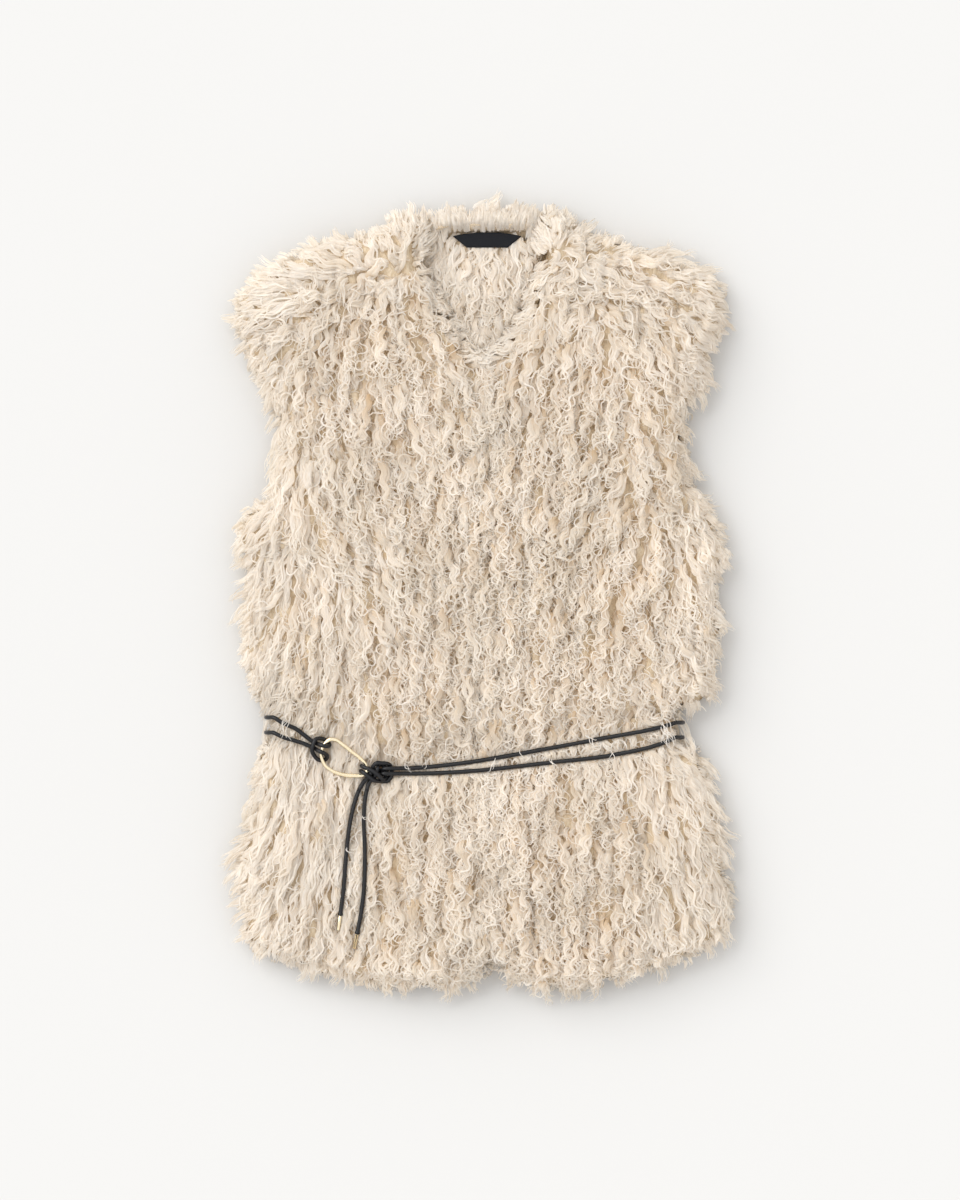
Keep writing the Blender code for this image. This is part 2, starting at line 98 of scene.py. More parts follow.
KNOT_LOWER = (
    (-0.071, -0.166, 0), (-0.078, -0.166, 0.0005), (-0.084, -0.166, 0.0035), (-0.09, -0.166, 0.0055),
    (-0.0955, -0.166, 0.0058), (-0.0985, -0.1675, 0.0025), (-0.102, -0.1675, 0), (-0.108, -0.1665, 0),
    (-0.1135, -0.1655, 0), (-0.1165, -0.164, 0.002), (-0.1165, -0.1635, 0.0055), (-0.114, -0.165, 0.0082),
    (-0.109, -0.169, 0.009), (-0.104, -0.1725, 0.0075), (-0.0995, -0.173, 0.0035),
    (-0.096, -0.1735, 0.0008), (-0.0915, -0.173, 0), (-0.0885, -0.1695, 0), (-0.0875, -0.164, 0),
    (-0.0885, -0.159, 0.0005), (-0.092, -0.1565, 0.0035), (-0.097, -0.156, 0.006), (-0.102, -0.156, 0.007),
    (-0.105, -0.159, 0.0058), (-0.1065, -0.163, 0.0048), (-0.108, -0.167, 0.0048),
    (-0.111, -0.1705, 0.0025), (-0.1145, -0.1745, 0.0003), (-0.1185, -0.1815, 0),
)

TAIL_LEFT = (
    KNOT_LOWER[-1], (-0.122, -0.191, 0), (-0.126, -0.207, 0), (-0.131, -0.246, 0), (-0.1335, -0.278, 0),
    (-0.1365, -0.301, 0),
)
TAIL_RIGHT = (
    KNOT_UPPER[-1], (-0.113, -0.192, 0), (-0.114, -0.207, 0), (-0.113, -0.238, 0), (-0.1135, -0.269, 0),
    (-0.1165, -0.298, 0), (-0.1205, -0.3185, 0),
)

# The strands on the front, from the sides to the ring's two ends
FRONT_STRANDS = {
    "upper": {
        "left": ((-0.192, -0.1175, 0), (-0.178, -0.124, 0)),
        "right": (
            (0.175, -0.12, 0), (0.108, -0.1335, 0), (0.052, -0.144, 0),
            (-0.023, -0.1565, 0), (-0.062, -0.1605, 0),
        ),
        "side_y": (-0.113, -0.118),
    },
    "lower": {
        "left": ((-0.192, -0.131, 0), (-0.179, -0.135, 0)),
        "right": (
            (0.175, -0.135, 0), (0.122, -0.1485, 0), (0.064, -0.1555, 0),
            (-0.023, -0.1645, 0), (-0.062, -0.166, 0),
        ),
        "side_y": (-0.1275, -0.132),
    },
}

# How a strand goes round the sides, as distance out from the edge and height, from front to back
EDGE_X = (-0.203, 0.185)
ROUND_SIDE = (
    (-0.0035, 0.035), (0.002, 0.029), (0.0046, 0.018), (0.0034, 0.0095), (-0.002, 0.0042), (-0.009, 0.0026),
)
UNDER_X = (-0.18, -0.09, 0.0, 0.09, 0.162)

# The tails' lengths, and how the cord swells and narrows where it goes into its tip
TAIL_STEP = 0.0015
CRIMP_REACH = 0.006
CRIMP_STEPS = 24
CRIMP = (
    (0.0, 0.75), (0.0004, 1.1), (0.001, 1.32), (0.0018, 1.25), (0.003, 1.02), (0.004, 1.0), (1.0, 1.0),
)

# The tips: rolled metal, with its outline as shares of the length and the width, and its slit in radians
TIP_WIDTH = 0.0032
TIP_LENGTH = 0.014
TIP_SIDES = 20
TIP_SLIT = 0.45
TIP_SLIT_TURNS = {"right": math.pi / 2, "left": math.pi / 2 - 1.0}
TIP_OUTLINE = (
    (0.0, 0.94), (0.03, 1.0), (0.96, 1.0), (0.99, 0.94), (1.0, 0.86), (1.0, 0.7), (0.98, 0.66), (0.0, 0.66),
)

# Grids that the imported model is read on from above: lowest and highest corner, and step
GRID = ((-0.285, -0.42), (0.285, 0.42), 0.0025)
FINE_GRID = ((-0.25, -0.345), (0.25, 0.36), 0.0012)
ABOVE_ALL = 1.0

# How high the pile may stand beside the belt and the label, and how fast that rises away from them
CORD_CLEAR = 0.0022
CORD_LID = 0.034
RING_LID = 0.0385
RING_EYE = ((-0.142, -0.149), (-0.122, -0.16))
RING_EYE_REACH = 0.008
RING_EYE_LID = 0.0366
LABEL_MIDDLE = ((-0.018, 0.3405), (0.024, 0.3405))
LABEL_REACH = 0.0085
LABEL_LID = 0.0192
LID_SLOPE = 1.3
LID_STEP = 0.001
BED_SLACK = 0.002

# The blank label: its long edges, its thickness, its turned-in rims and its ripples
LABEL_LOWER = ((-0.0165, 0.334), (0.0225, 0.334))
LABEL_UPPER = (
    (-0.03, 0.345), (-0.02, 0.347), (-0.008, 0.3484), (0.014, 0.3484), (0.026, 0.347), (0.036, 0.345),
)
LABEL_BOTTOM = 0.02
LABEL_THICKNESS = 0.0008
LABEL_GRID = (40, 10)
LABEL_SIZE = (0.06, 0.0135)
LABEL_RIM = (0.0015, 0.0012)
LABEL_RIM_SHARES = (0.45, 0.55)
LABEL_RIPPLE = 0.00012
LABEL_RIPPLE_TURN = 130
LABEL_THREADS = 900.0

# Fur: how far the undercoat is drawn in, and how the locks part and close over the opening
SEED = 7
MIDDLE_X = 0.0015
LOCK_STEPS = 14
LEVELS = {"upper": (0.1, 1.0), "middle": (-0.11, 0.1), "lower": (-1.0, -0.11)}
FRONT_SINK = 0.0055
BACK_SINK = 0.0025
FACING_SINK = 0.003
OUTLINE_SINK = 0.007
OUTLINE_SINK_REACH = 2.5
OUTLINE_SINK_MOST = 1.2
FLOOR_CLEAR = 0.0004
OPENING_REACH = 0.018
OPENING_Y = (-0.346, 0.228)
OPENING_LAP = 0.0015
SURFACE_GIVE = 0.0015
HEM_PARTING_TOP = -0.2
HEM_PARTING_RUN = 0.08
HEM_PARTING_DEPTH = 0.0055
HEM_PARTING_SLOPE = 3.2
PARTING_SCATTER = 1.1
PARTING_REACH = 0.012
PARTING_OPENS = 0.3
FURROW_SIZE = (0.0085, 0.03)
FURROW_SLICE = 4.0
FURROW_FROM = 0.12
FURROW_FULL = 0.3
FURROW_DEPTH = 0.005
UNDERCOAT_ROUGH = 0.7
UNDERCOAT_SCALE = 120.0
UNDERCOAT_MERGE = 0.00002

# How much locks and strands differ from each other
JITTER = (0.45, 0.5)
BEYOND_POWER = 2.5
LOCK_CURL_VARIES = 0.12
LOCK_TINT_VARIES = 0.16
CURL_VARIES = 0.1
TINT_VARIES = 0.1
WAVE_VARIES = (0.85, 1.2)
RUN_VARIES = 0.05

# How a strand's swing grows and its lock gathers along it, and how much flatter straight locks lie
SWING_GROWS = (0.45, 0.75)
GATHER_POWER = 1.4
SHORT_SHARE = 0.2
SOFT_RELIEF = 0.1
SOFT_SHADE = 0.75
RELIEF_CURL = 0.6
RELIEF_MOST = 1.2
ROLL_SWAY = 0.5
ROLL_LEAST = 0.4

# Where each kind of pile grows: a band is a middle and its reach to both sides, in x or inside an outline
GROWN_REACH = (0.26, 0.4)
ON_FRONT = 0.002
NECK_BEYOND = 0.008
OUTLINE_BAND = (0.01, 0.008)
WALL_BAND = (0.007, 0.006)
WALL_LEVELS = (0.8, 0.54, 0.28)
RIM_BAND = (0.012, 0.01)
OPENING_BAND = (MIDDLE_X, 0.008)
OPENING_ROOTS = (0.01, 0.012)
NECK_EDGE_BAND = (0.006, 0.007)
NECK_EDGE_X = (0.001, 0.085)
NECK_EDGE_LOWEST = 0.215
FRINGE_X = (0.001, 0.094)
FRINGE_Y = (0.336, 0.359)
FRINGE_INSIDE = 0.001
ABOVE_LABEL_X = (0.003, 0.038)
ABOVE_LABEL_Y = 0.347

# Where the locks grow, how they lie and how far they pass the outline
FRONT_PILE = {
    "spacing": (0.009, 0.0142), "length": (0.036, 0.064), "shortest": 0.01, "wander": 0.16,
    "beyond": (-0.009, 0.001), "outward": 0.0, "uneven": 0.0031, "hook": 0.5, "shade": 0.0,
    "lift": ((0.0, -0.0035), (0.25, -0.0002), (0.6, 0.0022), (0.85, 0.0027), (1.0, 0.0005)),
    "droop": 0.9, "lowest": 0.004, "level": 1.0,
}
FRIZZ_PILE = dict(
    FRONT_PILE, spacing=(0.014, 0.017), length=(0.016, 0.036), wander=0.7, uneven=0.0015, shade=0.45,
    lift=((0.0, 0.0), (0.5, 0.004), (1.0, 0.003)), shortest=0.006,
)
OPENING_PILE = dict(
    FRONT_PILE, spacing=(0.0065, 0.01), wander=0.45, uneven=0.0012,
    lift=((0.0, -0.004), (0.3, -0.001), (0.7, 0.001), (1.0, -0.001)),
)
PARTING_PILE = dict(
    FRONT_PILE, spacing=(0.0064, 0.008), length=(0.016, 0.034), wander=0.9, uneven=0.0018, shade=0.0,
    lift=((0.0, -0.003), (0.3, 0.001), (0.7, 0.002), (1.0, 0.0)), shortest=0.006,
)
OUTLINE_PILE = dict(
    FRONT_PILE, spacing=(0.009, 0.01), length=(0.028, 0.054), wander=0.24, beyond=(-0.008, 0.015),
    outward=0.45, uneven=0.0012, droop=0.5, lift=((0.0, -0.004), (0.5, -0.001), (1.0, -0.004)), shade=0.25,
)
NECK_EDGE_PILE = dict(
    FRONT_PILE, spacing=(0.0054, 0.006), length=(0.022, 0.04), wander=0.45, beyond=(0.002, 0.014),
    outward=1.1, droop=1.0, uneven=0.0014, lift=((0.0, -0.003), (0.5, 0.0), (1.0, -0.002)), shade=0.2,
)
FACING_PILE = dict(
    FRONT_PILE, spacing=(0.007, 0.01), length=(0.026, 0.042), beyond=(0.002, 0.01), uneven=0.0014,
    lift=((0.0, -0.003), (0.5, 0.001), (1.0, 0.0)), shade=0.25, hook=0.5,
)
BACK_PILE = dict(
    FRONT_PILE, spacing=(0.0085, 0.0105), length=(0.026, 0.04), beyond=(0.0, 0.008), outward=0.6,
    lift=((0.0, -0.004), (0.5, -0.005), (1.0, -0.008)), uneven=0.003, droop=0.5, lowest=0.0015, shade=0.1,
)
FRINGE_PILE = dict(
    FRONT_PILE, spacing=(0.0044, 0.0042), length=(0.018, 0.034), beyond=(-0.007, 0.007), droop=0.5,
    wander=0.16, lift=((0.0, -0.001), (0.35, 0.0024), (1.0, 0.0)), uneven=0.0005, shade=0.95, hook=0.2,
)
WALL_PILE = dict(
    FRONT_PILE, spacing=(0.0076, 0.0076), length=(0.018, 0.03), shortest=0.004, wander=0.4,
    beyond=(-0.004, 0.004), outward=2.5, lift=((0.0, 0.0), (0.5, 0.001), (1.0, -0.004)), uneven=0.004,
    droop=1.8, lowest=0.0024, shade=0.25,
)

# What the locks are made of: broad soft ribbons, thin strands over them, and single curls on top
LOCK_SHAPE = ((0.0, 0.55), (0.2, 1.0), (0.55, 0.85), (0.85, 0.4), (1.0, 0.06))
HAIR_SHAPE = ((0.0, 0.6), (0.25, 1.0), (0.7, 0.85), (0.92, 0.5), (1.0, 0.15))
# Painted shade: the broad locks' tone is darkened against the hairs on top of them, most where they curl
LOCK = {
    "count": 2, "points": 15, "columns": 3, "width": (0.0036, 0.0062), "hump": 0.25, "shape": LOCK_SHAPE,
    "start": (0.0, 0.12), "end": (0.8, 0.98), "wave": (0.036, 0.0155), "swing": (0.1, 1.0),
    "loose": 0.24, "hook": 0.4, "gather": 0.6, "spread": 0.0036, "crown": 0.001, "coil": 0.5,
    "uneven": 0.0007, "roll": 0.3, "above": 0.0, "shade": 0.0, "painted_layer_light": 0.8,
}
HAIR = {
    "count": 4, "points": 17, "columns": 2, "width": (0.0011, 0.002), "hump": 0.0, "shape": HAIR_SHAPE,
    "start": (0.05, 0.45), "end": (0.86, 1.05), "wave": (0.03, 0.014), "swing": (0.16, 1.3),
    "loose": 0.32, "hook": 0.6, "gather": 0.7, "spread": 0.0038, "crown": 0.0014, "coil": 0.3,
    "uneven": 0.0008, "roll": 0.4, "above": 0.001, "shade": 0.35, "painted_layer_light": 1.0,
}
FRIZZ = dict(
    HAIR, count=1, points=20, width=(0.0009, 0.0015), start=(0.0, 0.05), swing=(0.8, 1.9),
    wave=(0.02, 0.0155), spread=0.001, coil=0.5, shade=0.5, roll=0.2,
)
SPIKE = dict(LOCK, width=(0.0022, 0.004), gather=0.92, swing=(0.12, 0.35), roll=0.15, uneven=0.0004)
TUFT = dict(
    HAIR, count=7, width=(0.0006, 0.0011), gather=0.88, swing=(0.2, 0.8), spread=0.0048, loose=0.6,
    above=0.0006,
)
SIDE = dict(HAIR, count=5, points=9, width=(0.001, 0.002), gather=0.8, swing=(0.2, 0.8))
SOFT = dict(LOCK, width=(0.0026, 0.0044), swing=(0.1, 0.35), wave=(0.034, 0.022), gather=0.2, roll=0.1)
FINE = dict(
    HAIR, start=(0.0, 0.15), swing=(0.2, 0.9), wave=(0.028, 0.0125), points=13, loose=0.5, hook=0.3,
    width=(0.0006, 0.0011),
)

# Hairs over the cords: start, heading in degrees, bend in radians, length and how many
STRAYS = (
    (0.098, -0.128, 290, 2.4, 0.02, 3), (0.119, -0.143, 280, -2, 0.018, 2),
    (0.166, -0.112, 300, -0.6, 0.034, 6), (0.171, -0.116, 285, 0.8, 0.03, 5),
    (-0.076, -0.155, 290, 1.6, 0.016, 2), (-0.056, -0.153, 265, -1.5, 0.015, 2),
    (-0.1165, -0.206, 330, 1.8, 0.012, 2), (0.035, -0.14, 275, 1.2, 0.016, 2),
    (-0.186, -0.112, 250, 0.8, 0.026, 5), (0.01, -0.15, 262, -1.4, 0.017, 2),
    (-0.131, -0.236, 300, 1.6, 0.013, 2), (0.064, -0.15, 285, 1.2, 0.014, 2),
)
STRAY_POINTS = 16
STRAY_SINK = 0.003
STRAY_TOP = 0.0075
STRAY_ARCH = 1.1
STRAY_WIDTH = (0.0005, 0.0008)
STRAY_LENGTHS = (0.8, 1.15)
STRAY_TURN = 0.15
STRAY_WAVE = 0.5
STRAY_WAVE_TURN = 9
STRAY_SHIFT = 0.0012
STRAY_LOOK = {"along": 0.9, "tint": 0.6, "run": 0.01}

# Colours
FUR_TIP = (0.97, 0.948, 0.92)
FUR_MIDDLE = (0.93, 0.872, 0.79)
# The roots' colour is painted shade: strands darken towards it where they lie deep in the pile
FUR_ROOT_PAINTED_SHADE = (0.72, 0.56, 0.365)
# The lower pile's colour and its gaps' colour are the cream darkened and warmed as painted shade between
# locks
FUR_LOWER_PAINTED_SHADE = (0.74, 0.625, 0.475)
FUR_GAP_PAINTED_SHADE = (0.56, 0.43, 0.28)
FUR_GLOW = (0.98, 0.93, 0.84)
GLOW_SHARE = 0.5
HAIR_STRETCH = 0.1
HAIR_SCALE = 1300.0
FLOOR_TONE = (0.66, 0.654, 0.642)

# Studio
FLOOR_SIZE = 12.0
SURROUND_TONE = (1.0, 1.0, 1.0)
SURROUND_STRENGTH = 1.055
KEY_SOFTNESS = 0.85
KEY_STRENGTH = 1.72
KEY_FROM = (-1.5, 1.3, 1.9)

# Which way the fur lies: x, y, heading in degrees from +X, and curl from 0, straight, to 1, ringlets
FRONT_FLOW = (
    (-0.06, 0.35, 100, 0.15), (-0.095, 0.355, 118, 0.1), (-0.15, 0.34, 148, 0.05),
    (-0.2, 0.315, 168, 0.05), (-0.228, 0.29, 185, 0.1), (-0.215, 0.258, 205, 0.1),
    (-0.215, 0.222, 232, 0.2), (-0.16, 0.305, 172, 0.1), (-0.14, 0.262, 250, 0.95),
    (-0.092, 0.322, 112, 0.2), (-0.095, 0.28, 255, 0.95), (-0.06, 0.3, 290, 0.85),
    (-0.05, 0.268, 305, 0.85), (-0.025, 0.238, 308, 0.7), (-0.08, 0.225, 275, 0.75),
    (-0.15, 0.2, 264, 0.8), (-0.198, 0.165, 252, 0.3), (-0.19, 0.12, 262, 0.3), (-0.215, 0.07, 232, 0.15),
    (-0.23, 0.02, 240, 0.15), (-0.225, -0.05, 242, 0.15), (-0.15, 0.1, 275, 0.7), (-0.15, 0.05, 288, 0.6),
    (-0.11, 0.05, 300, 0.5), (-0.1, 0, 292, 0.6), (-0.07, 0.12, 275, 0.85), (-0.06, 0.05, 282, 0.85),
    (-0.16, -0.03, 266, 0.5), (-0.06, -0.06, 274, 0.8), (-0.02, 0, 270, 0.9), (-0.21, -0.09, 246, 0.2),
    (-0.2, -0.18, 255, 0.2), (-0.215, -0.25, 240, 0.15), (-0.23, -0.31, 233, 0.15),
    (-0.2, -0.345, 252, 0.3), (-0.15, -0.2, 266, 0.4), (-0.15, -0.32, 262, 0.5), (-0.06, -0.25, 270, 0.8),
    (-0.06, -0.35, 266, 0.8), (0.06, 0.35, 80, 0.2), (0.11, 0.34, 30, 0.45), (0.15, 0.33, 8, 0.4),
    (0.2, 0.31, 355, 0.1), (0.225, 0.285, 335, 0.2), (0.215, 0.25, 320, 0.4), (0.205, 0.215, 310, 0.5),
    (0.15, 0.3, 330, 0.65), (0.15, 0.25, 286, 0.75), (0.095, 0.305, 340, 0.65), (0.06, 0.3, 265, 0.5),
    (0.05, 0.27, 245, 0.6), (0.03, 0.24, 235, 0.6), (0.08, 0.25, 265, 0.8), (0.1, 0.18, 262, 0.9),
    (0.06, 0.12, 256, 0.8), (0.11, 0.1, 246, 0.7), (0.12, 0.04, 250, 0.8), (0.17, 0.13, 284, 0.8),
    (0.19, 0.17, 290, 0.7), (0.205, 0.09, 300, 0.5), (0.22, 0.05, 300, 0.4), (0.215, 0, 296, 0.4),
    (0.16, 0.02, 268, 0.95), (0.16, -0.06, 280, 0.8), (0.205, -0.08, 300, 0.4), (0.08, -0.05, 262, 0.95),
    (0.02, 0.05, 268, 0.95), (0, -0.3, 271, 0.9), (0.19, -0.16, 298, 0.3), (0.215, -0.22, 294, 0.3),
    (0.225, -0.29, 294, 0.3), (0.19, -0.33, 284, 0.5), (0.13, -0.2, 272, 0.9), (0.06, -0.2, 262, 0.95),
    (0.06, -0.3, 266, 0.95), (0.13, -0.33, 272, 0.85),
)
NECK_FLOW = (
    (-0.04, 0.335, 250, 0.6), (-0.01, 0.33, 262, 0.6), (0.02, 0.33, 278, 0.6), (0.042, 0.335, 292, 0.6),
    (-0.04, 0.29, 262, 0.75), (0, 0.285, 270, 0.85), (0.038, 0.29, 280, 0.75), (0, 0.24, 270, 0.8),
)
FRINGE_FLOW = (
    (-0.095, 0.35, 125, 0.05), (-0.06, 0.35, 108, 0.05), (-0.03, 0.35, 97, 0.1), (0, 0.35, 90, 0.05),
    (0.03, 0.35, 84, 0.1), (0.06, 0.35, 76, 0.05), (0.085, 0.35, 62, 0.1),
)
FLOW_REACH = 0.018


def unit(vectors):
    """The vectors at length 1."""
    return vectors / np.maximum(np.linalg.norm(vectors, axis=-1, keepdims=True), 1e-12)


def thinned(line, deviation):
    """The fewest of the line's own points that keep it within the deviation."""
    if len(line) < 3:
        return list(line)
    way = line[-1] - line[0]
    share = np.clip((line - line[0]) @ way / max(way @ way, 1e-12), 0, 1)
    off = np.linalg.norm(line[0] + share[:, None] * way - line, axis=1)
    worst = int(off.argmax())
    if off[worst] < deviation:
        return [line[0], line[-1]]
    return thinned(line[: worst + 1], deviation)[:-1] + thinned(line[worst:], deviation)


def smooth(points, deviation=LINE_DEVIATION):
    """A line through the points, as cubic Hermite pieces, with only as many points as its bends need."""
    line = np.array(points, float)
    at = np.concatenate([[0.0], np.cumsum(np.linalg.norm(np.diff(line, axis=0), axis=1))])
    slope = np.gradient(line, at, axis=0)
    fine = []
    for k, reach in enumerate(np.diff(at)):
        for t in np.linspace(0, 1, LINE_STEPS, endpoint=False):
            start = (1 + 2 * t) * (1 - t) ** 2 * line[k] + t * (1 - t) ** 2 * reach * slope[k]
            end = t * t * (3 - 2 * t) * line[k + 1] + t * t * (t - 1) * reach * slope[k + 1]
            fine.append(start + end)
    fine.append(line[-1])
    return np.array(thinned(np.array(fine), deviation))


def length_of(line):
    """The length of a line through points."""
    return float(np.linalg.norm(np.diff(line, axis=0), axis=1).sum())


def at_lengths(line, at):
    """The points at those lengths along the line."""
    steps = np.concatenate([[0.0], np.cumsum(np.linalg.norm(np.diff(line, axis=0), axis=1))])
    return np.column_stack([np.interp(at, steps, line[:, axis]) for axis in range(line.shape[1])])


def evenly(line, count):
    """That many points, evenly spread along the line."""
    return at_lengths(line, np.linspace(0, length_of(line), count))


def linked(name, data):
    """A new object in the scene."""
    made = bpy.data.objects.new(name, data)
    bpy.context.scene.collection.objects.link(made)
    return made


def worn(name, mesh, material, values):
    """A smooth-shaded piece on the vest's one body, with values at its points for its material to read."""
    mesh.shade_smooth()
    for key, value in values.items():
        mesh.attributes.new(key, "FLOAT", "POINT").data.foreach_set("value", value.astype(np.float32))
    mesh.materials.append(material)
    piece = linked(name, mesh)
    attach(piece, "root")
    return piece


def add_mesh(name, points, faces, material, slot, **values):
    """A piece from points and faces."""
    mesh = bpy.data.meshes.new(name)
    mesh.from_pydata(points, [], faces)
    return worn(name, mesh, material, values)


def tube_mesh(line, radius, sides=CORD_SIDES, closed=False):
    """Points, faces and distance along it of a round tube whose radius may change from point to point."""
    line = np.asarray(line, float)
    count = len(line)
    radius = np.broadcast_to(radius, count)
    if closed:
        way = unit(np.roll(line, -1, axis=0) - np.roll(line, 1, axis=0))
    else:
        way = unit(np.gradient(line, axis=0))
    across = [unit(np.cross(way[0], (0.0, 0.3, 1.0)))]
    for k in range(1, count):
        across.append(unit(across[-1] - way[k] * (across[-1] @ way[k])))
    across = np.array(across)
    up = np.cross(across, way)
    turn = np.linspace(0, 2 * math.pi, sides, endpoint=False)[None, :, None]
    rings = np.cos(turn) * across[:, None] + np.sin(turn) * up[:, None]
    points = (line[:, None] + radius[:, None, None] * rings).reshape(-1, 3)
    steps = np.linalg.norm(np.diff(line, axis=0), axis=1)
    along = np.repeat(np.concatenate([[0.0], np.cumsum(steps)]), sides)
    faces = []
    for k in range(count if closed else count - 1):
        here, there = k * sides, (k + 1) % count * sides
        for j in range(sides):
            n = (j + 1) % sides
            faces.append((here + j, here + n, there + n, there + j))
    if not closed:
        faces.append(tuple(range(sides))[::-1])
        faces.append(tuple(range((count - 1) * sides, count * sides)))
    return points, faces, along


# Materials

def shader(name, colour, roughness, metallic=0.0, **inputs):
    """A material's node tree and its Principled BSDF, with constant values on the shader's own sockets."""
    made = bpy.data.materials.new(name)
    made.use_nodes = True
    principled = made.node_tree.nodes["Principled BSDF"]
    principled.inputs["Base Color"].default_value = (*colour, 1.0)
    principled.inputs["Roughness"].default_value = roughness
    principled.inputs["Metallic"].default_value = metallic
    for key, value in inputs.items():
        principled.inputs[key.replace("_", " ")].default_value = value
    return made, made.node_tree, principled


def node(tree, kind, inputs=(), **settings):
    """A new node, with its inputs set or linked and its settings made."""
    made = tree.nodes.new(kind)
    for key, value in settings.items():
        setattr(made, key, value)
    for key, value in dict(inputs).items():
        if isinstance(value, bpy.types.NodeSocket):
            tree.links.new(value, made.inputs[key])
        else:
            made.inputs[key].default_value = value
    return made


def attribute(tree, name):
    """The socket of a value kept at a mesh's points."""
    return node(tree, "ShaderNodeAttribute", attribute_name=name).outputs["Fac"]


def ramp(tree, factor, stops):
    """A colour ramp's socket, from stops of place and colour or grey."""
    made = node(tree, "ShaderNodeValToRGB", {"Fac": factor})
    elements = made.color_ramp.elements
    while len(elements) < len(stops):
        elements.new(0.5)
    for element, (place, colour) in zip(elements, stops):
        element.position = place
        element.color = (*colour, 1.0) if hasattr(colour, "__len__") else (colour, colour, colour, 1.0)
    return made.outputs["Color"]


def object_coordinates(tree):
    """The socket of places on the vest."""
    return node(tree, "ShaderNodeTexCoord").outputs["Object"]


def grain(tree, place, scale, detail=2.0, **more):
    """The socket of a noise over those places."""
    inputs = {"Vector": place, "Scale": scale, "Detail": detail, **more}
    return node(tree, "ShaderNodeTexNoise", inputs).outputs["Fac"]


def calculated(tree, kind, *inputs):
    """The socket of a calculation with sockets and numbers."""
    return node(tree, "ShaderNodeMath", dict(enumerate(inputs)), operation=kind).outputs[0]


def feed(tree, principled, **sockets):
    """Link sockets to the shader's own inputs."""
    for key, socket in sockets.items():
        tree.links.new(socket, principled.inputs[key.replace("_", " ")])


def bump(tree, height, strength, distance):
    """The normal socket of a bump."""
    made = node(tree, "ShaderNodeBump", {"Height": height, "Strength": strength, "Distance": distance})
    return made.outputs["Normal"]


def times(tree, colour, factor):
    """A colour multiplied by another."""
    made = node(tree, "ShaderNodeMix", data_type="RGBA", blend_type="MULTIPLY")
    made.inputs["Factor"].default_value = 1.0
    tree.links.new(colour, made.inputs["A"])
    tree.links.new(factor, made.inputs["B"])
    return made.outputs["Result"]


def fur_material():
    """Cream pile that lets light through: darker and warm at its roots as painted shade deep in the pile,
    with fine hairs and a tint for each lock.
    """
    made, tree, principled = shader(
        "fur_strands", FUR_TIP, 0.65, Sheen_Weight=0.08, Sheen_Roughness=0.5, Specular_IOR_Level=0.15
    )
    along, tint = attribute(tree, "along"), attribute(tree, "tint")
    # Painted shade: the ramp darkens each strand towards its root, deep in the pile
    tone = ramp(tree, along, ((0.0, FUR_ROOT_PAINTED_SHADE), (0.4, FUR_MIDDLE), (0.85, FUR_TIP)))
    lock_stops = ((0.0, (0.9, 0.87, 0.83)), (0.5, (1.0, 1.0, 1.0)), (1.0, (1.04, 1.05, 1.06)))
    lock_tone = ramp(tree, tint, lock_stops)
    patches = grain(tree, object_coordinates(tree), 16.0)
    patch_tone = ramp(tree, patches, ((0.3, (0.95, 0.94, 0.92)), (0.7, (1.03, 1.03, 1.03))))
    run = calculated(tree, "MULTIPLY", attribute(tree, "run"), HAIR_STRETCH)
    across = {"X": attribute(tree, "over"), "Y": run, "Z": tint}
    hairs = grain(tree, node(tree, "ShaderNodeCombineXYZ", across).outputs[0], HAIR_SCALE)
    hair_tone = ramp(tree, hairs, ((0.3, (0.9, 0.865, 0.81)), (0.62, (1.02, 1.02, 1.02))))
    colour = times(tree, times(tree, times(tree, tone, lock_tone), patch_tone), hair_tone)
    relief = bump(tree, hairs, 0.5, 0.0006)
    feed(tree, principled, Base_Color=colour, Normal=relief)
    through = {"Color": times(tree, colour, glow_tone(tree)), "Normal": relief}
    glow = node(tree, "ShaderNodeBsdfTranslucent", through)
    mixed = node(tree, "ShaderNodeMixShader", {0: GLOW_SHARE, 1: principled.outputs[0], 2: glow.outputs[0]})
    tree.links.new(mixed.outputs[0], tree.nodes["Material Output"].inputs["Surface"])
    return made


def glow_tone(tree):
    """The warm colour of the light that comes through the pile."""
    made = node(tree, "ShaderNodeRGB")
    made.outputs[0].default_value = (*FUR_GLOW, 1.0)
    return made.outputs[0]


def undercoat_material():
    """The dense lower pile that shows between locks: its cream darkened and warmed as painted shade between
    locks, with fine wavy hairs that are darkest in their dips as painted shade.
    """
    made, tree, principled = shader("fur_undercoat_painted_shade", FUR_LOWER_PAINTED_SHADE, 0.9, Specular_IOR_Level=0.08)
    place = object_coordinates(tree)
    sway = node(tree, "ShaderNodeTexNoise", {"Vector": place, "Scale": 90.0, "Detail": 2.0})
    stretched = node(tree, "ShaderNodeMapping", {"Vector": place, "Scale": (1.0, 0.28, 1.0)})
    mixed = node(tree, "ShaderNodeMix", data_type="VECTOR")
    mixed.inputs["Factor"].default_value = 0.004
    tree.links.new(stretched.outputs["Vector"], mixed.inputs["A"])
    tree.links.new(sway.outputs["Color"], mixed.inputs["B"])
    hairs = grain(tree, mixed.outputs["Result"], 620.0, 3.0, Roughness=0.6)
    # Painted shade: the gap colour in the dips of the noise that also bumps the hairs, the lower colour on
    # its ridges
    colour = ramp(tree, hairs, ((0.3, FUR_GAP_PAINTED_SHADE), (0.66, FUR_LOWER_PAINTED_SHADE)))
    feed(tree, principled, Base_Color=colour, Normal=bump(tree, hairs, 0.8, 0.0015))
    return made


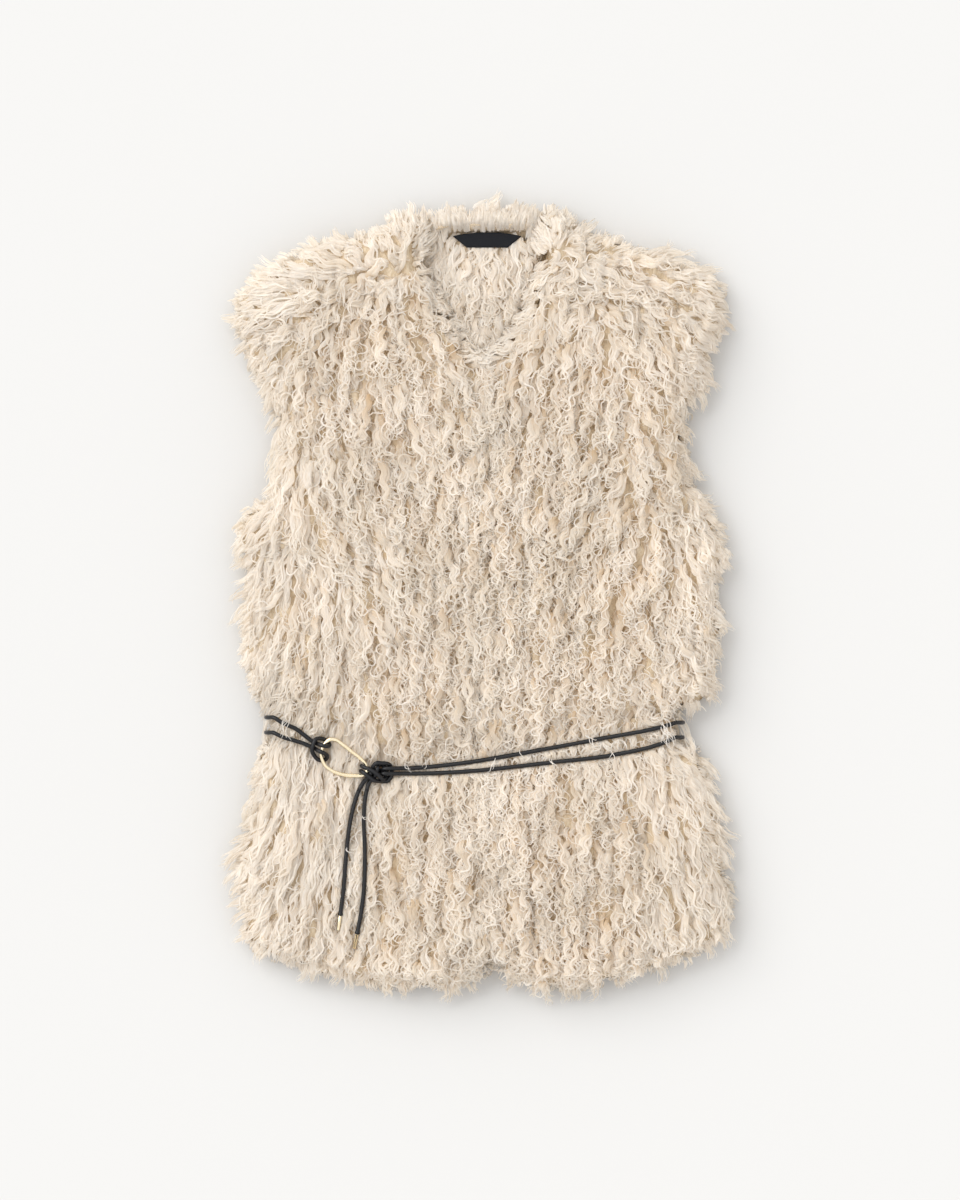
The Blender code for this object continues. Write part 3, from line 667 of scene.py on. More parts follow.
def cord_material():
    """Black round leather cord, with a fine grain, faint ribs across it and a soft sheen."""
    made, tree, principled = shader("cord_leather", (0.006, 0.006, 0.007), 0.34, Specular_IOR_Level=0.38)
    place, along = object_coordinates(tree), attribute(tree, "along")
    ribs = calculated(tree, "SINE", calculated(tree, "MULTIPLY", along, 2 * math.pi / CORD_RIB))
    fine = grain(tree, place, 1400.0, 3.0)
    height = calculated(tree, "MULTIPLY_ADD", ribs, 0.22, fine)
    gloss = ramp(tree, grain(tree, place, 260.0), ((0.3, 0.28), (0.7, 0.42)))
    shade = ramp(tree, fine, ((0.3, (0.003, 0.003, 0.004)), (0.75, (0.01, 0.01, 0.012))))
    feed(tree, principled, Base_Color=shade, Roughness=gloss, Normal=bump(tree, height, 0.35, 0.0002))
    return made


def gold_material():
    """Polished pale gold with faint waviness and fine wear."""
    made, tree, principled = shader("pale_gold", (0.92, 0.8, 0.57), 0.16, metallic=1.0)
    place = object_coordinates(tree)
    waves, wear = grain(tree, place, 160.0, 1.0), grain(tree, place, 700.0, 3.0)
    gloss = ramp(tree, wear, ((0.35, 0.12), (0.75, 0.24)))
    tone = ramp(tree, wear, ((0.2, (0.86, 0.71, 0.45)), (0.6, (0.95, 0.84, 0.61))))
    feed(tree, principled, Base_Color=tone, Roughness=gloss, Normal=bump(tree, waves, 0.25, 0.0004))
    return made


def label_material():
    """Black woven satin, with its threads across and along."""
    made, tree, principled = shader("label_weave", (0.01, 0.011, 0.015), 0.75, Specular_IOR_Level=0.25)
    place = object_coordinates(tree)
    threads = [
        node(tree, "ShaderNodeTexWave", {"Vector": place, "Scale": scale}, bands_direction=way).outputs["Fac"]
        for way, scale in (("Y", LABEL_THREADS), ("X", LABEL_THREADS * 0.6))
    ]
    weave = calculated(tree, "MULTIPLY", *threads)
    tone = ramp(tree, weave, ((0.0, (0.004, 0.005, 0.007)), (1.0, (0.016, 0.017, 0.023))))
    feed(tree, principled, Base_Color=tone, Normal=bump(tree, weave, 0.5, 0.0002))
    return made


def floor_material():
    """Pale studio paper, with a hardly visible unevenness."""
    made, tree, principled = shader("studio_floor", FLOOR_TONE, 0.9, Specular_IOR_Level=0.1)
    low = tuple(c * 0.997 for c in FLOOR_TONE)
    paper = grain(tree, object_coordinates(tree), 3.0)
    feed(tree, principled, Base_Color=ramp(tree, paper, ((0.3, low), (0.7, FLOOR_TONE))))
    return made


# The camera, the floor and the lights

def camera():
    """Straight above the vest, with the photograph's frame."""
    made = bpy.data.cameras.new("camera")
    made.sensor_fit = "VERTICAL"
    made.sensor_height = SENSOR
    made.lens = SENSOR * CAMERA_DISTANCE / FRAME_HEIGHT
    eye = linked("camera", made)
    eye.location = (*FRAME_MIDDLE, FRAME_LEVEL + CAMERA_DISTANCE)
    bpy.context.scene.camera = eye


def studio():
    """A pale floor, an even white surround and one broad soft light from the upper left."""
    mesh = bpy.data.meshes.new("floor")
    half = FLOOR_SIZE / 2
    corners = [(-half, -half, 0), (half, -half, 0), (half, half, 0), (-half, half, 0)]
    mesh.from_pydata(corners, [], [(0, 1, 2, 3)])
    mesh.materials.append(floor_material())
    linked("floor", mesh)

    world = bpy.data.worlds.new("studio")
    world.use_nodes = True
    surround = world.node_tree.nodes["Background"].inputs
    surround["Color"].default_value = (*SURROUND_TONE, 1.0)
    surround["Strength"].default_value = SURROUND_STRENGTH
    bpy.context.scene.world = world

    light = bpy.data.lights.new("key", "SUN")
    light.angle = KEY_SOFTNESS
    light.energy = KEY_STRENGTH
    key = linked("key", light)
    key.location = KEY_FROM
    key.rotation_euler = (-Vector(KEY_FROM)).to_track_quat("-Z", "Y").to_euler()
    bpy.context.scene.view_settings.view_transform = "Standard"


# The belt

def bed(points, lift=0.0):
    """Route points put at their height above the bed that the cords lie on."""
    return [(x, y, CORD_LEVEL + rise + lift) for x, y, rise in points]


def strand(name):
    """A strand from the hitch, round the left side, under the back and up the right side to the knot."""
    route = FRONT_STRANDS[name]
    left_y, right_y = route["side_y"]
    down = [(EDGE_X[0] - out, left_y, z) for out, z in ROUND_SIDE]
    under = [(x, np.interp(x, EDGE_X, route["side_y"]), CORD_UNDER) for x in UNDER_X]
    up = [(EDGE_X[1] + out, right_y, z) for out, z in reversed(ROUND_SIDE)]
    return [*reversed(bed(route["left"])), *down, *under, *up, *bed(route["right"])]


def tip(name, start, way, slit_turn, material):
    """A metal tip: a sheet rolled to a tube round the cord's end, with a slit along it."""
    way = unit(way)
    across = unit(np.cross(way, (0.0, 0.0, 1.0)))
    up = np.cross(across, way)
    turns = slit_turn + np.linspace(TIP_SLIT / 2, 2 * math.pi - TIP_SLIT / 2, TIP_SIDES)
    points = []
    for reach, share in TIP_OUTLINE:
        for turn in turns:
            side = math.cos(turn) * across + math.sin(turn) * up
            points.append(start + way * reach * TIP_LENGTH + side * share * TIP_WIDTH / 2)
    faces = []
    rows = len(TIP_OUTLINE)
    for row in range(rows):
        here, there = row * TIP_SIDES, (row + 1) % rows * TIP_SIDES
        for k in range(TIP_SIDES - 1):
            faces.append((here + k, here + k + 1, there + k + 1, there + k))
    faces.append(tuple(row * TIP_SIDES for row in range(rows))[::-1])
    faces.append(tuple(row * TIP_SIDES + TIP_SIDES - 1 for row in range(rows)))
    return add_mesh(name, points, faces, material, "gold")


def belt():
    """The ring, the doubled cord with its hitch and knot, and two tails with their tips: its whole line."""
    leather, gold = cord_material(), gold_material()
    whole = smooth([
        *reversed(bed(TAIL_RIGHT)), *reversed(bed(KNOT_UPPER[:-1])), *reversed(strand("upper")),
        *bed(HITCH_POINTS), *strand("lower"), *bed(KNOT_LOWER), *bed(TAIL_LEFT[1:]),
    ])
    first, last = (
        int(np.linalg.norm(whole - bed([end])[0], axis=1).argmin())
        for end in (KNOT_UPPER[-1], KNOT_LOWER[-1])
    )
    waist = whole[first : last + 1]
    points, faces, along = tube_mesh(waist, CORD / 2)
    cord = add_mesh("belt_cord_and_knots", points, faces, leather, "cord", along=along)
    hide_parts("belt_cord", "belt_knot_upper", "belt_knot_lower")

    tip_ends = []
    for side, route in (("right", whole[first::-1]), ("left", whole[last:])):
        full = length_of(route)
        crimped = np.linspace(full - CRIMP_REACH, full, CRIMP_STEPS)
        at = np.concatenate([np.arange(0, full - CRIMP_REACH, TAIL_STEP), crimped])
        line = at_lengths(route, at)
        radius = CORD / 2 * np.interp(full - at, *zip(*CRIMP))
        points, faces, along = tube_mesh(line, radius)
        tail = add_mesh(f"belt_tail_{side}_cord", points, faces, leather, "cord", along=along)
        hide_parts(f"belt_tail_{side}")
        metal = tip(f"belt_tip_{side}_metal", line[-1], line[-1] - line[-2], TIP_SLIT_TURNS[side], gold)
        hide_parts(f"belt_tip_{side}")
        tip_ends.append(route[-1] + unit(route[-1] - route[-2]) * TIP_LENGTH)

    loop = smooth(bed([*RING_POINTS, RING_POINTS[0]], RING_RISE))[:-1]
    turn = np.linspace(0, 2 * math.pi, len(loop), endpoint=False)
    radius = RING_WIRE / 2 * (1 + RING_UNEVEN * np.sin(2 * turn + 0.6) + RING_UNEVEN / 2 * np.sin(5 * turn))
    points, faces, _ = tube_mesh(loop, radius, closed=True)
    ring = add_mesh("belt_ring_metal", points, faces, gold, "gold")
    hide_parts("belt_ring")
    return np.array([tip_ends[0], *whole, tip_ends[1]])


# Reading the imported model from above

class Field:
    """Values on a flat grid, read anywhere on it by bilinear interpolation."""

    def __init__(self, low, high, step, values=None):
        self.low, self.high, self.step = low, high, step
        self.x, self.y = (np.arange(low[axis], high[axis] + step / 2, step) for axis in (0, 1))
        self.values = np.zeros((len(self.x), len(self.y))) if values is None else values

    def like(self, values):
        """Other values on the same grid."""
        return Field(self.low, self.high, self.step, values)

    def at(self, x, y):
        """The values at places on the flat."""
        i = np.clip((x - self.low[0]) / self.step, 0, len(self.x) - 1.001)
        j = np.clip((y - self.low[1]) / self.step, 0, len(self.y) - 1.001)
        low_i, low_j = i.astype(int), j.astype(int)
        i, j = i - low_i, j - low_j
        v = self.values
        below = v[low_i, low_j] * (1 - i) + v[low_i + 1, low_j] * i
        above = v[low_i, low_j + 1] * (1 - i) + v[low_i + 1, low_j + 1] * i
        return below * (1 - j) + above * j

    def uphill(self, place):
        """The directions on the flat in which the values rise at those places."""
        slopes = [self.like(slope).at(*place.T) for slope in np.gradient(self.values, self.step)]
        return unit(np.column_stack(slopes))

    def away_from(self, points):
        """How far the grid's places are from the nearest of those points on the flat."""
        tree = KDTree(len(points))
        for k, (x, y) in enumerate(points):
            tree.insert((x, y, 0.0), k)
        tree.balance()
        return np.array([[tree.find((x, y, 0.0))[2] for y in self.y] for x in self.x])


def blurred(values, cells):
    """A box blur, run twice."""
    for _ in range(2):
        for axis in (0, 1):
            values = sum(np.roll(values, k, axis) for k in range(-cells, cells + 1)) / (2 * cells + 1)
    return values


def tops(names):
    """The height of those CAD nodes' upper side over a grid, below 0 where there is none."""
    points, faces = [], []
    for name in names:
        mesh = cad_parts[name].data
        first = len(points)
        points.extend(v.co[:] for v in mesh.vertices)
        faces.extend(tuple(first + k for k in p.vertices) for p in mesh.polygons)
    tree = BVHTree.FromPolygons(points, faces)
    field = Field(*GRID)
    for i, x in enumerate(field.x):
        for j, y in enumerate(field.y):
            hit = tree.ray_cast((x, y, ABOVE_ALL), (0.0, 0.0, -1.0))[0]
            field.values[i, j] = hit.z if hit else -1.0
    return field


def spread(field, cells):
    """The field's heights, blurred and carried on past its edge."""
    there = field.values > 0
    total = blurred(np.where(there, field.values, 0.0), cells)
    share = blurred(there.astype(float), cells)
    near = np.where(share > 1e-3, total / np.maximum(share, 1e-3), 0.0)
    return field.like(np.maximum(near, field.values - SURFACE_GIVE))


def bridged(field):
    """The fronts' heights, carried over the opening between them, with a parting that deepens to the hem."""
    values = field.values.copy()
    first, last = (
        int(round((MIDDLE_X + sign * OPENING_REACH - field.low[0]) / field.step)) for sign in (-1, 1)
    )
    share = np.linspace(0, 1, last - first + 1)
    for j, y in enumerate(field.y):
        right, left = values[first, j], values[last, j]
        if OPENING_Y[0] < y < OPENING_Y[1] and min(right, left) > 0:
            depth = np.clip((HEM_PARTING_TOP - y) / HEM_PARTING_RUN, 0, 1) * HEM_PARTING_DEPTH
            parting = depth * np.maximum(0, 1 - np.abs(share - 0.5) * HEM_PARTING_SLOPE)
            values[first : last + 1, j] = right + (left - right) * share - parting
    return field.like(values)


def furrowed(field):
    """The fronts' heights with long soft furrows down them, where locks part."""
    across, down = FURROW_SIZE
    depth = [
        [max(0.0, noise.noise((x / across, y / down, FURROW_SLICE)) - FURROW_FROM) for y in field.y]
        for x in field.x
    ]
    return field.like(field.values - FURROW_DEPTH * np.minimum(np.array(depth) / FURROW_FULL, 1.0))


def resting(line):
    """The stretches of the cord that lie on the fronts."""
    lowest = CORD_LEVEL - BED_SLACK
    cuts = np.flatnonzero(np.diff((line[:, 2] > lowest).astype(int))) + 1
    return [part for part in np.split(line, cuts) if part[0, 2] > lowest and len(part) > 1]


def edge_distance(field):
    """How far inside the outline of what is there each point is, and negative outside it."""
    there = field.values > 0
    inner = there.copy()
    for axis in (0, 1):
        for shift in (-1, 1):
            inner &= np.roll(there, shift, axis)
    away = field.away_from([(field.x[i], field.y[j]) for i, j in np.argwhere(there & ~inner)])
    return field.like(np.where(there, away, -away))


def ceiling(covers):
    """How high the pile may reach, from covers that each have a line, its reach to the sides and a height."""
    field = Field(*FINE_GRID)
    field.values[:] = ABOVE_ALL
    for line, reach, height in covers:
        line = np.array(line)
        away = field.away_from(evenly(line[:, :2], max(2, int(length_of(line) / LID_STEP))))
        field.values = np.minimum(field.values, height + LID_SLOPE * np.maximum(away - reach, 0))
    return field


# The fur

def flow(place, guides):
    """The heading, in radians, the curl and the firmness of the fur at places on the flat."""
    table = np.array(guides)
    away = ((place[:, None, :] - table[None, :, :2]) ** 2).sum(2)
    weight = (away + FLOW_REACH**2) ** -2
    heading = np.radians(table[:, 2])
    along, up = weight @ np.cos(heading), weight @ np.sin(heading)
    total = weight.sum(1)
    return np.arctan2(up, along), (weight @ table[:, 3]) / total, np.hypot(along, up) / total


def scatter(rng, spacing, inside):
    """Jittered places on a staggered grid, where inside(x, y) is true."""
    across, down = spacing
    columns, rows = (np.arange(-reach, reach, step) for reach, step in zip(GROWN_REACH, spacing))
    x, y = np.meshgrid(columns, rows, indexing="ij")
    off_x, off_y = (rng.uniform(-most, most, x.shape) for most in JITTER)
    x = x + (np.arange(x.shape[1]) % 2) * across / 2 + off_x * across
    y = y + off_y * down
    keep = inside(x, y)
    return np.column_stack([x[keep], y[keep]])


def lay(rng, roots, guides, pile, edge):
    """The middle lines of the locks at those roots, which follow the flow until they pass the outline."""
    count = len(roots)
    reach = rng.uniform(*pile["length"], count)
    turn = rng.normal(0, pile["wander"], count)
    astray = rng.normal(0, PARTING_SCATTER, count)
    near, far = pile["beyond"]
    allowed = near + (far - near) * rng.uniform(0, 1, count) ** BEYOND_POWER
    lines = np.empty((count, LOCK_STEPS + 1, 2))
    headings = np.empty((count, LOCK_STEPS + 1))
    place = roots.copy()
    for k in range(LOCK_STEPS + 1):
        heading, bent, firm = flow(place, guides)
        if k == 0:
            curl = np.clip(bent + rng.normal(0, LOCK_CURL_VARIES, count), 0, 1)
        heading = heading + turn * (0.5 + k / LOCK_STEPS) + astray * (1 - firm)
        out = -edge.uphill(place) * pile["outward"]
        heading = np.arctan2(np.sin(heading) + out[:, 1], np.cos(heading) + out[:, 0])
        lines[:, k], headings[:, k] = place, heading
        place = place + (reach / LOCK_STEPS)[:, None] * np.column_stack([np.cos(heading), np.sin(heading)])
    beyond = edge.at(lines[..., 0], lines[..., 1]) < -allowed[:, None]
    last = np.where(beyond.any(1), beyond.argmax(1), LOCK_STEPS) / LOCK_STEPS
    kept = np.flatnonzero(last * reach > pile["shortest"])
    count = len(kept)
    return SimpleNamespace(
        lines=lines[kept], headings=np.unwrap(headings, axis=1)[kept], reach=reach[kept], last=last[kept],
        curl=curl[kept], phase=rng.uniform(0, 2 * math.pi, count),
        tint=rng.normal(0, LOCK_TINT_VARIES, count),
        rise=np.clip(rng.normal(0, pile["uneven"], count), -2 * pile["uneven"], 2 * pile["uneven"]),
        hook=rng.normal(0, pile["hook"], count),
    )


def between(pair, share):
    """A value between the pair's two."""
    return pair[0] * (1 - share) + pair[1] * share


def strands(rng, locks, pile, hair, height, edge, lids):
    """Ribbons for the strands of the locks: their points, side and crown vectors, and values."""
    each = hair["count"]
    owner = np.repeat(np.arange(len(locks.reach)), each)
    own = owner[:, None]
    number = len(owner)
    last = locks.last[owner]
    reach = locks.reach[own]
    across = (np.tile(np.arange(each), len(locks.reach)) + rng.uniform(0, 1, number)) / each * 2 - 1
    start = rng.uniform(*hair["start"], number) * last
    end = np.minimum(last * rng.uniform(*hair["end"], number), 1.0)
    t = np.linspace(0, 1, hair["points"])[None, :]
    q = start[:, None] + (end - start)[:, None] * t
    at = np.clip(q * LOCK_STEPS, 0, LOCK_STEPS - 0.001)
    low = at.astype(int)
    part = at - low
    centre = between((locks.lines[own, low], locks.lines[own, low + 1]), part[..., None])
    heading = between((locks.headings[own, low], locks.headings[own, low + 1]), part)

    curl = np.clip(locks.curl[owner] + rng.normal(0, CURL_VARIES, number), 0, 1)[:, None]
    wave = between(hair["wave"], curl) * rng.uniform(*WAVE_VARIES, number)[:, None]
    swing = between(hair["swing"], curl) * (SWING_GROWS[0] + SWING_GROWS[1] * t)
    phase = locks.phase[owner] + rng.normal(0, hair["loose"], number)
    angle = 2 * math.pi * q * reach / wave + phase[:, None]
    slow = 1 - swing**2 / 4 + swing**4 / 64
    hook = (locks.hook[owner] + rng.normal(0, hair["hook"], number))[:, None] * curl * t**3
    bend = heading + swing * np.sin(angle) + hook
    step = np.gradient(q, axis=1) * reach
    drift = np.stack([np.cos(bend) / slow - np.cos(heading), np.sin(bend) / slow - np.sin(heading)], axis=-1)
    drift = np.cumsum(drift * step[..., None], axis=1)
    drift -= drift[:, :1]
    sideways = np.stack([-np.sin(heading), np.cos(heading)], axis=-1)
    narrowing = 1 - hair["gather"] * q**GATHER_POWER
    flat = centre + drift + sideways * (across[:, None] * hair["spread"] * narrowing)[..., None]
    x, y = flat[..., 0], flat[..., 1]

    out = np.maximum(-edge.at(x, y), 0)
    relief = SOFT_RELIEF + (1 - SOFT_RELIEF) * np.clip(curl / RELIEF_CURL, 0, RELIEF_MOST)
    share = q / np.maximum(last[:, None], SHORT_SHARE)
    lift = np.interp(share, *zip(*pile["lift"])) * relief + hair["above"]
    base = height.at(x, y) * pile["level"] + locks.rise[own] * relief
    z = base + lift - hair["crown"] * across[:, None] ** 2 * narrowing
    z = z + hair["coil"] * wave / (2 * math.pi) * swing * np.cos(angle) - pile["droop"] * out
    z = z + rng.normal(0, hair["uneven"], number)[:, None]
    z = np.minimum(z, lids.at(x, y))
    z = np.maximum(z, pile["lowest"])
    line = np.concatenate([flat, z[..., None]], axis=-1)

    way = unit(np.gradient(line, axis=1))
    side = unit(np.cross(way, (0.0, 0.0, 1.0)))
    up = np.cross(side, way)
    roll = rng.normal(0, hair["roll"], number)[:, None]
    roll = roll * (1 + ROLL_SWAY * np.sin(angle * 0.5)) * np.clip(relief, ROLL_LEAST, 1)
    side, up = (
        np.cos(roll)[..., None] * side + np.sin(roll)[..., None] * up,
        np.cos(roll)[..., None] * up - np.sin(roll)[..., None] * side,
    )
    width = rng.uniform(*hair["width"], number)[:, None] * np.interp(t, *zip(*hair["shape"]))
    tint = 0.5 + locks.tint[own] + rng.normal(0, TINT_VARIES, number)[:, None]
    # Painted shade: a strand's tone is darkest at its root, lifted by the pile's and the strand's own share
    # and in straight locks, and the broad lower locks are darkened below the hairs on top
    shade = np.minimum(pile["shade"] + hair["shade"] + SOFT_SHADE * (1 - curl), 1)
    painted_layer_light = hair["painted_layer_light"] + (1 - hair["painted_layer_light"]) * (1 - curl)
    return SimpleNamespace(
        line=line, side=side * (width / 2)[..., None], crown=up * (width * hair["hump"])[..., None],
        along=(shade + (1 - shade) * share) * painted_layer_light, tint=np.clip(tint + np.zeros_like(t), 0, 1),
        run=q * reach + rng.uniform(0, RUN_VARIES, number)[:, None], columns=hair["columns"],
    )


def ribbon_parts(growth, keep):
    """The points, faces and values of those strands: 2 or 3 points across each ribbon, faces between them."""
    line, side = growth.line[keep], growth.side[keep]
    if growth.columns == 2:
        rows = [line - side, line + side]
    else:
        rows = [line - side, line + growth.crown[keep], line + side]
    number, points = line.shape[:2]
    columns = len(rows)
    first = (np.arange(number)[:, None] * points + np.arange(points - 1)[None, :]).reshape(-1) * columns
    faces = [
        np.column_stack([first + k, first + k + 1, first + k + columns + 1, first + k + columns])
        for k in range(columns - 1)
    ]
    half = np.linalg.norm(side, axis=-1)
    over = np.stack([half * share for share in np.linspace(-1, 1, columns)], axis=2).reshape(-1)
    looks = (growth.along, growth.tint, growth.run)
    values = [np.repeat(value[keep].reshape(-1), columns) for value in looks]
    return np.stack(rows, axis=2).reshape(-1, 3), np.concatenate(faces), [*values, over]


def ribbons(name, growths, material, keep=None):
    """One joined piece of the strands of several growths, or of those whose start keep(x, y) picks."""
    points, faces, values = [], [], []
    total = 0
    for growth in growths:
        start = growth.line[:, 0]
        chosen = np.ones(len(start), bool) if keep is None else keep(start[:, 0], start[:, 1])
        co, quads, kinds = ribbon_parts(growth, chosen)
        points.append(co)
        faces.append(quads + total)
        values.append(kinds)
        total += len(co)
    points, faces = np.concatenate(points), np.concatenate(faces)
    points[:, 2] = np.maximum(points[:, 2], FLOOR_CLEAR)
    mesh = bpy.data.meshes.new(name)
    mesh.vertices.add(len(points))
    mesh.vertices.foreach_set("co", points.astype(np.float32).ravel())
    mesh.loops.add(faces.size)
    mesh.loops.foreach_set("vertex_index", faces.astype(np.int32).ravel())
    mesh.polygons.add(len(faces))
    mesh.polygons.foreach_set("loop_start", np.arange(0, faces.size, 4, dtype=np.int32))
    mesh.update(calc_edges=True)
    columns = (np.concatenate(column) for column in zip(*values))
    return worn(name, mesh, material, dict(zip(("along", "tint", "run", "over"), columns)))


def strays(rng):
    """Hairs that curl over the belt's cords."""
    lines, widths = [], []
    t = np.linspace(0, 1, STRAY_POINTS)
    arch = np.sin(math.pi * np.clip(t * STRAY_ARCH, 0, 1)) ** 0.5
    for x, y, heading, bend, length, number in STRAYS:
        for _ in range(number):
            turn = math.radians(heading) + rng.normal(0, STRAY_TURN) + bend * (t - 0.3)
            turn = turn + STRAY_WAVE * np.sin(STRAY_WAVE_TURN * t + rng.uniform(0, 6))
            step = length * rng.uniform(*STRAY_LENGTHS) / (STRAY_POINTS - 1)
            place = np.cumsum(np.column_stack([np.cos(turn), np.sin(turn)]) * step, axis=0)
            place += np.array([x, y]) + rng.normal(0, STRAY_SHIFT, 2)
            z = CORD_LEVEL - STRAY_SINK + (STRAY_TOP + rng.uniform(0, STRAY_SHIFT)) * arch
            lines.append(np.column_stack([place, z]))
            widths.append(rng.uniform(*STRAY_WIDTH) * np.interp(t, *zip(*HAIR_SHAPE)))
    line, width = np.array(lines), np.array(widths)
    side = unit(np.cross(unit(np.gradient(line, axis=1)), (0.0, 0.0, 1.0)))
    look = {key: np.full((len(line), STRAY_POINTS), value) for key, value in STRAY_LOOK.items()}
    return SimpleNamespace(line=line, side=side * (width / 2)[..., None], crown=0 * side, columns=2, **look)


def undercoat(name, node_name, sink, edge, height, material):
    """A panel's own form, drawn in under its strands and roughened, for the dense lower pile."""
    shell = bmesh.new()
    shell.from_mesh(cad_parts[node_name].data)
    bmesh.ops.remove_doubles(shell, verts=shell.verts, dist=UNDERCOAT_MERGE)
    bmesh.ops.subdivide_edges(shell, edges=shell.edges, cuts=1, use_grid_fill=True)
    shell.normal_update()
    place = np.array([point.co[:] for point in shell.verts])
    normals = np.array([point.normal[:] for point in shell.verts])
    rough = np.array([
        [1 + UNDERCOAT_ROUGH * noise.noise(Vector((x, y, level)) * UNDERCOAT_SCALE) for level in (z, 0.0)]
        for x, y, z in place
    ])
    inward = edge.uphill(place[:, :2])
    share = 1 - edge.at(*place[:, :2].T) / (OUTLINE_SINK_REACH * OUTLINE_SINK)
    share = np.clip(share, 0, OUTLINE_SINK_MOST)
    place[:, :2] += inward * (OUTLINE_SINK * rough[:, 1] * share)[:, None]
    place[:, 2] -= np.maximum(normals[:, 2], 0) * sink * rough[:, 0]
    beside = np.abs(place[:, 0] - MIDDLE_X)
    if height is not None:
        closed = (beside < OPENING_REACH) & (normals[:, 2] > 0.1) & (place[:, 1] < OPENING_Y[1])
        filled = height.at(*place[:, :2].T) - sink
        place[:, 2] = np.where(closed, np.maximum(place[:, 2], filled), place[:, 2])
        toward = np.sign(MIDDLE_X - place[:, 0]) * OPENING_LAP * (beside < OPENING_LAP * 2)
        place[:, 0] += toward * (place[:, 1] > OPENING_Y[0])
    for point, at in zip(shell.verts, place):
        point.co = at
    mesh = bpy.data.meshes.new(name)
    shell.to_mesh(mesh)
    shell.free()
    piece = worn(name, mesh, material, {})
    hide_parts(node_name)
    return piece


def label(material):
    """The blank woven label: a thin cushion of cloth with turned-in edges."""
    low = np.array(LABEL_LOWER)
    high = np.array(LABEL_UPPER)
    columns, rows = LABEL_GRID
    least, rest = LABEL_RIM_SHARES
    top, under = [], []
    for j in range(rows + 1):
        v = j / rows
        for i in range(columns + 1):
            u = i / columns
            foot = at_lengths(low, [u * length_of(low)])[0]
            head = at_lengths(high, [u * length_of(high)])[0]
            x, y = foot + (head - foot) * v
            rim = min(min(k, 1 - k) * size / turned for k, size, turned in zip((u, v), LABEL_SIZE, LABEL_RIM))
            crown = LABEL_THICKNESS * min(1.0, least + rest * rim)
            ripple = LABEL_RIPPLE * math.sin(LABEL_RIPPLE_TURN * x + 1.3) * (1 if j else 0)
            top.append((x, y, LABEL_BOTTOM + crown + ripple))
            under.append((x, y, LABEL_BOTTOM))
    faces = []
    width = columns + 1
    total = width * (rows + 1)
    for j in range(rows):
        for i in range(columns):
            a = j * width + i
            faces.append((a, a + 1, a + width + 1, a + width))
            faces.append(tuple(total + k for k in (a + width, a + width + 1, a + 1, a)))
    ring = [*range(width), *(j * width + columns for j in range(1, rows + 1))]
    ring += [rows * width + i for i in range(columns - 1, -1, -1)]
    ring += [j * width for j in range(rows - 1, 0, -1)]
    for a, b in zip(ring, [*ring[1:], ring[0]]):
        faces.append((b, a, total + a, total + b))
    piece = add_mesh("neck_label_weave", top + under, faces, material, "label")
    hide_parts("neck_label")


def within(values, middle, reach):
    """Where the values are nearer to the middle than that."""
    return np.abs(values - middle) < reach


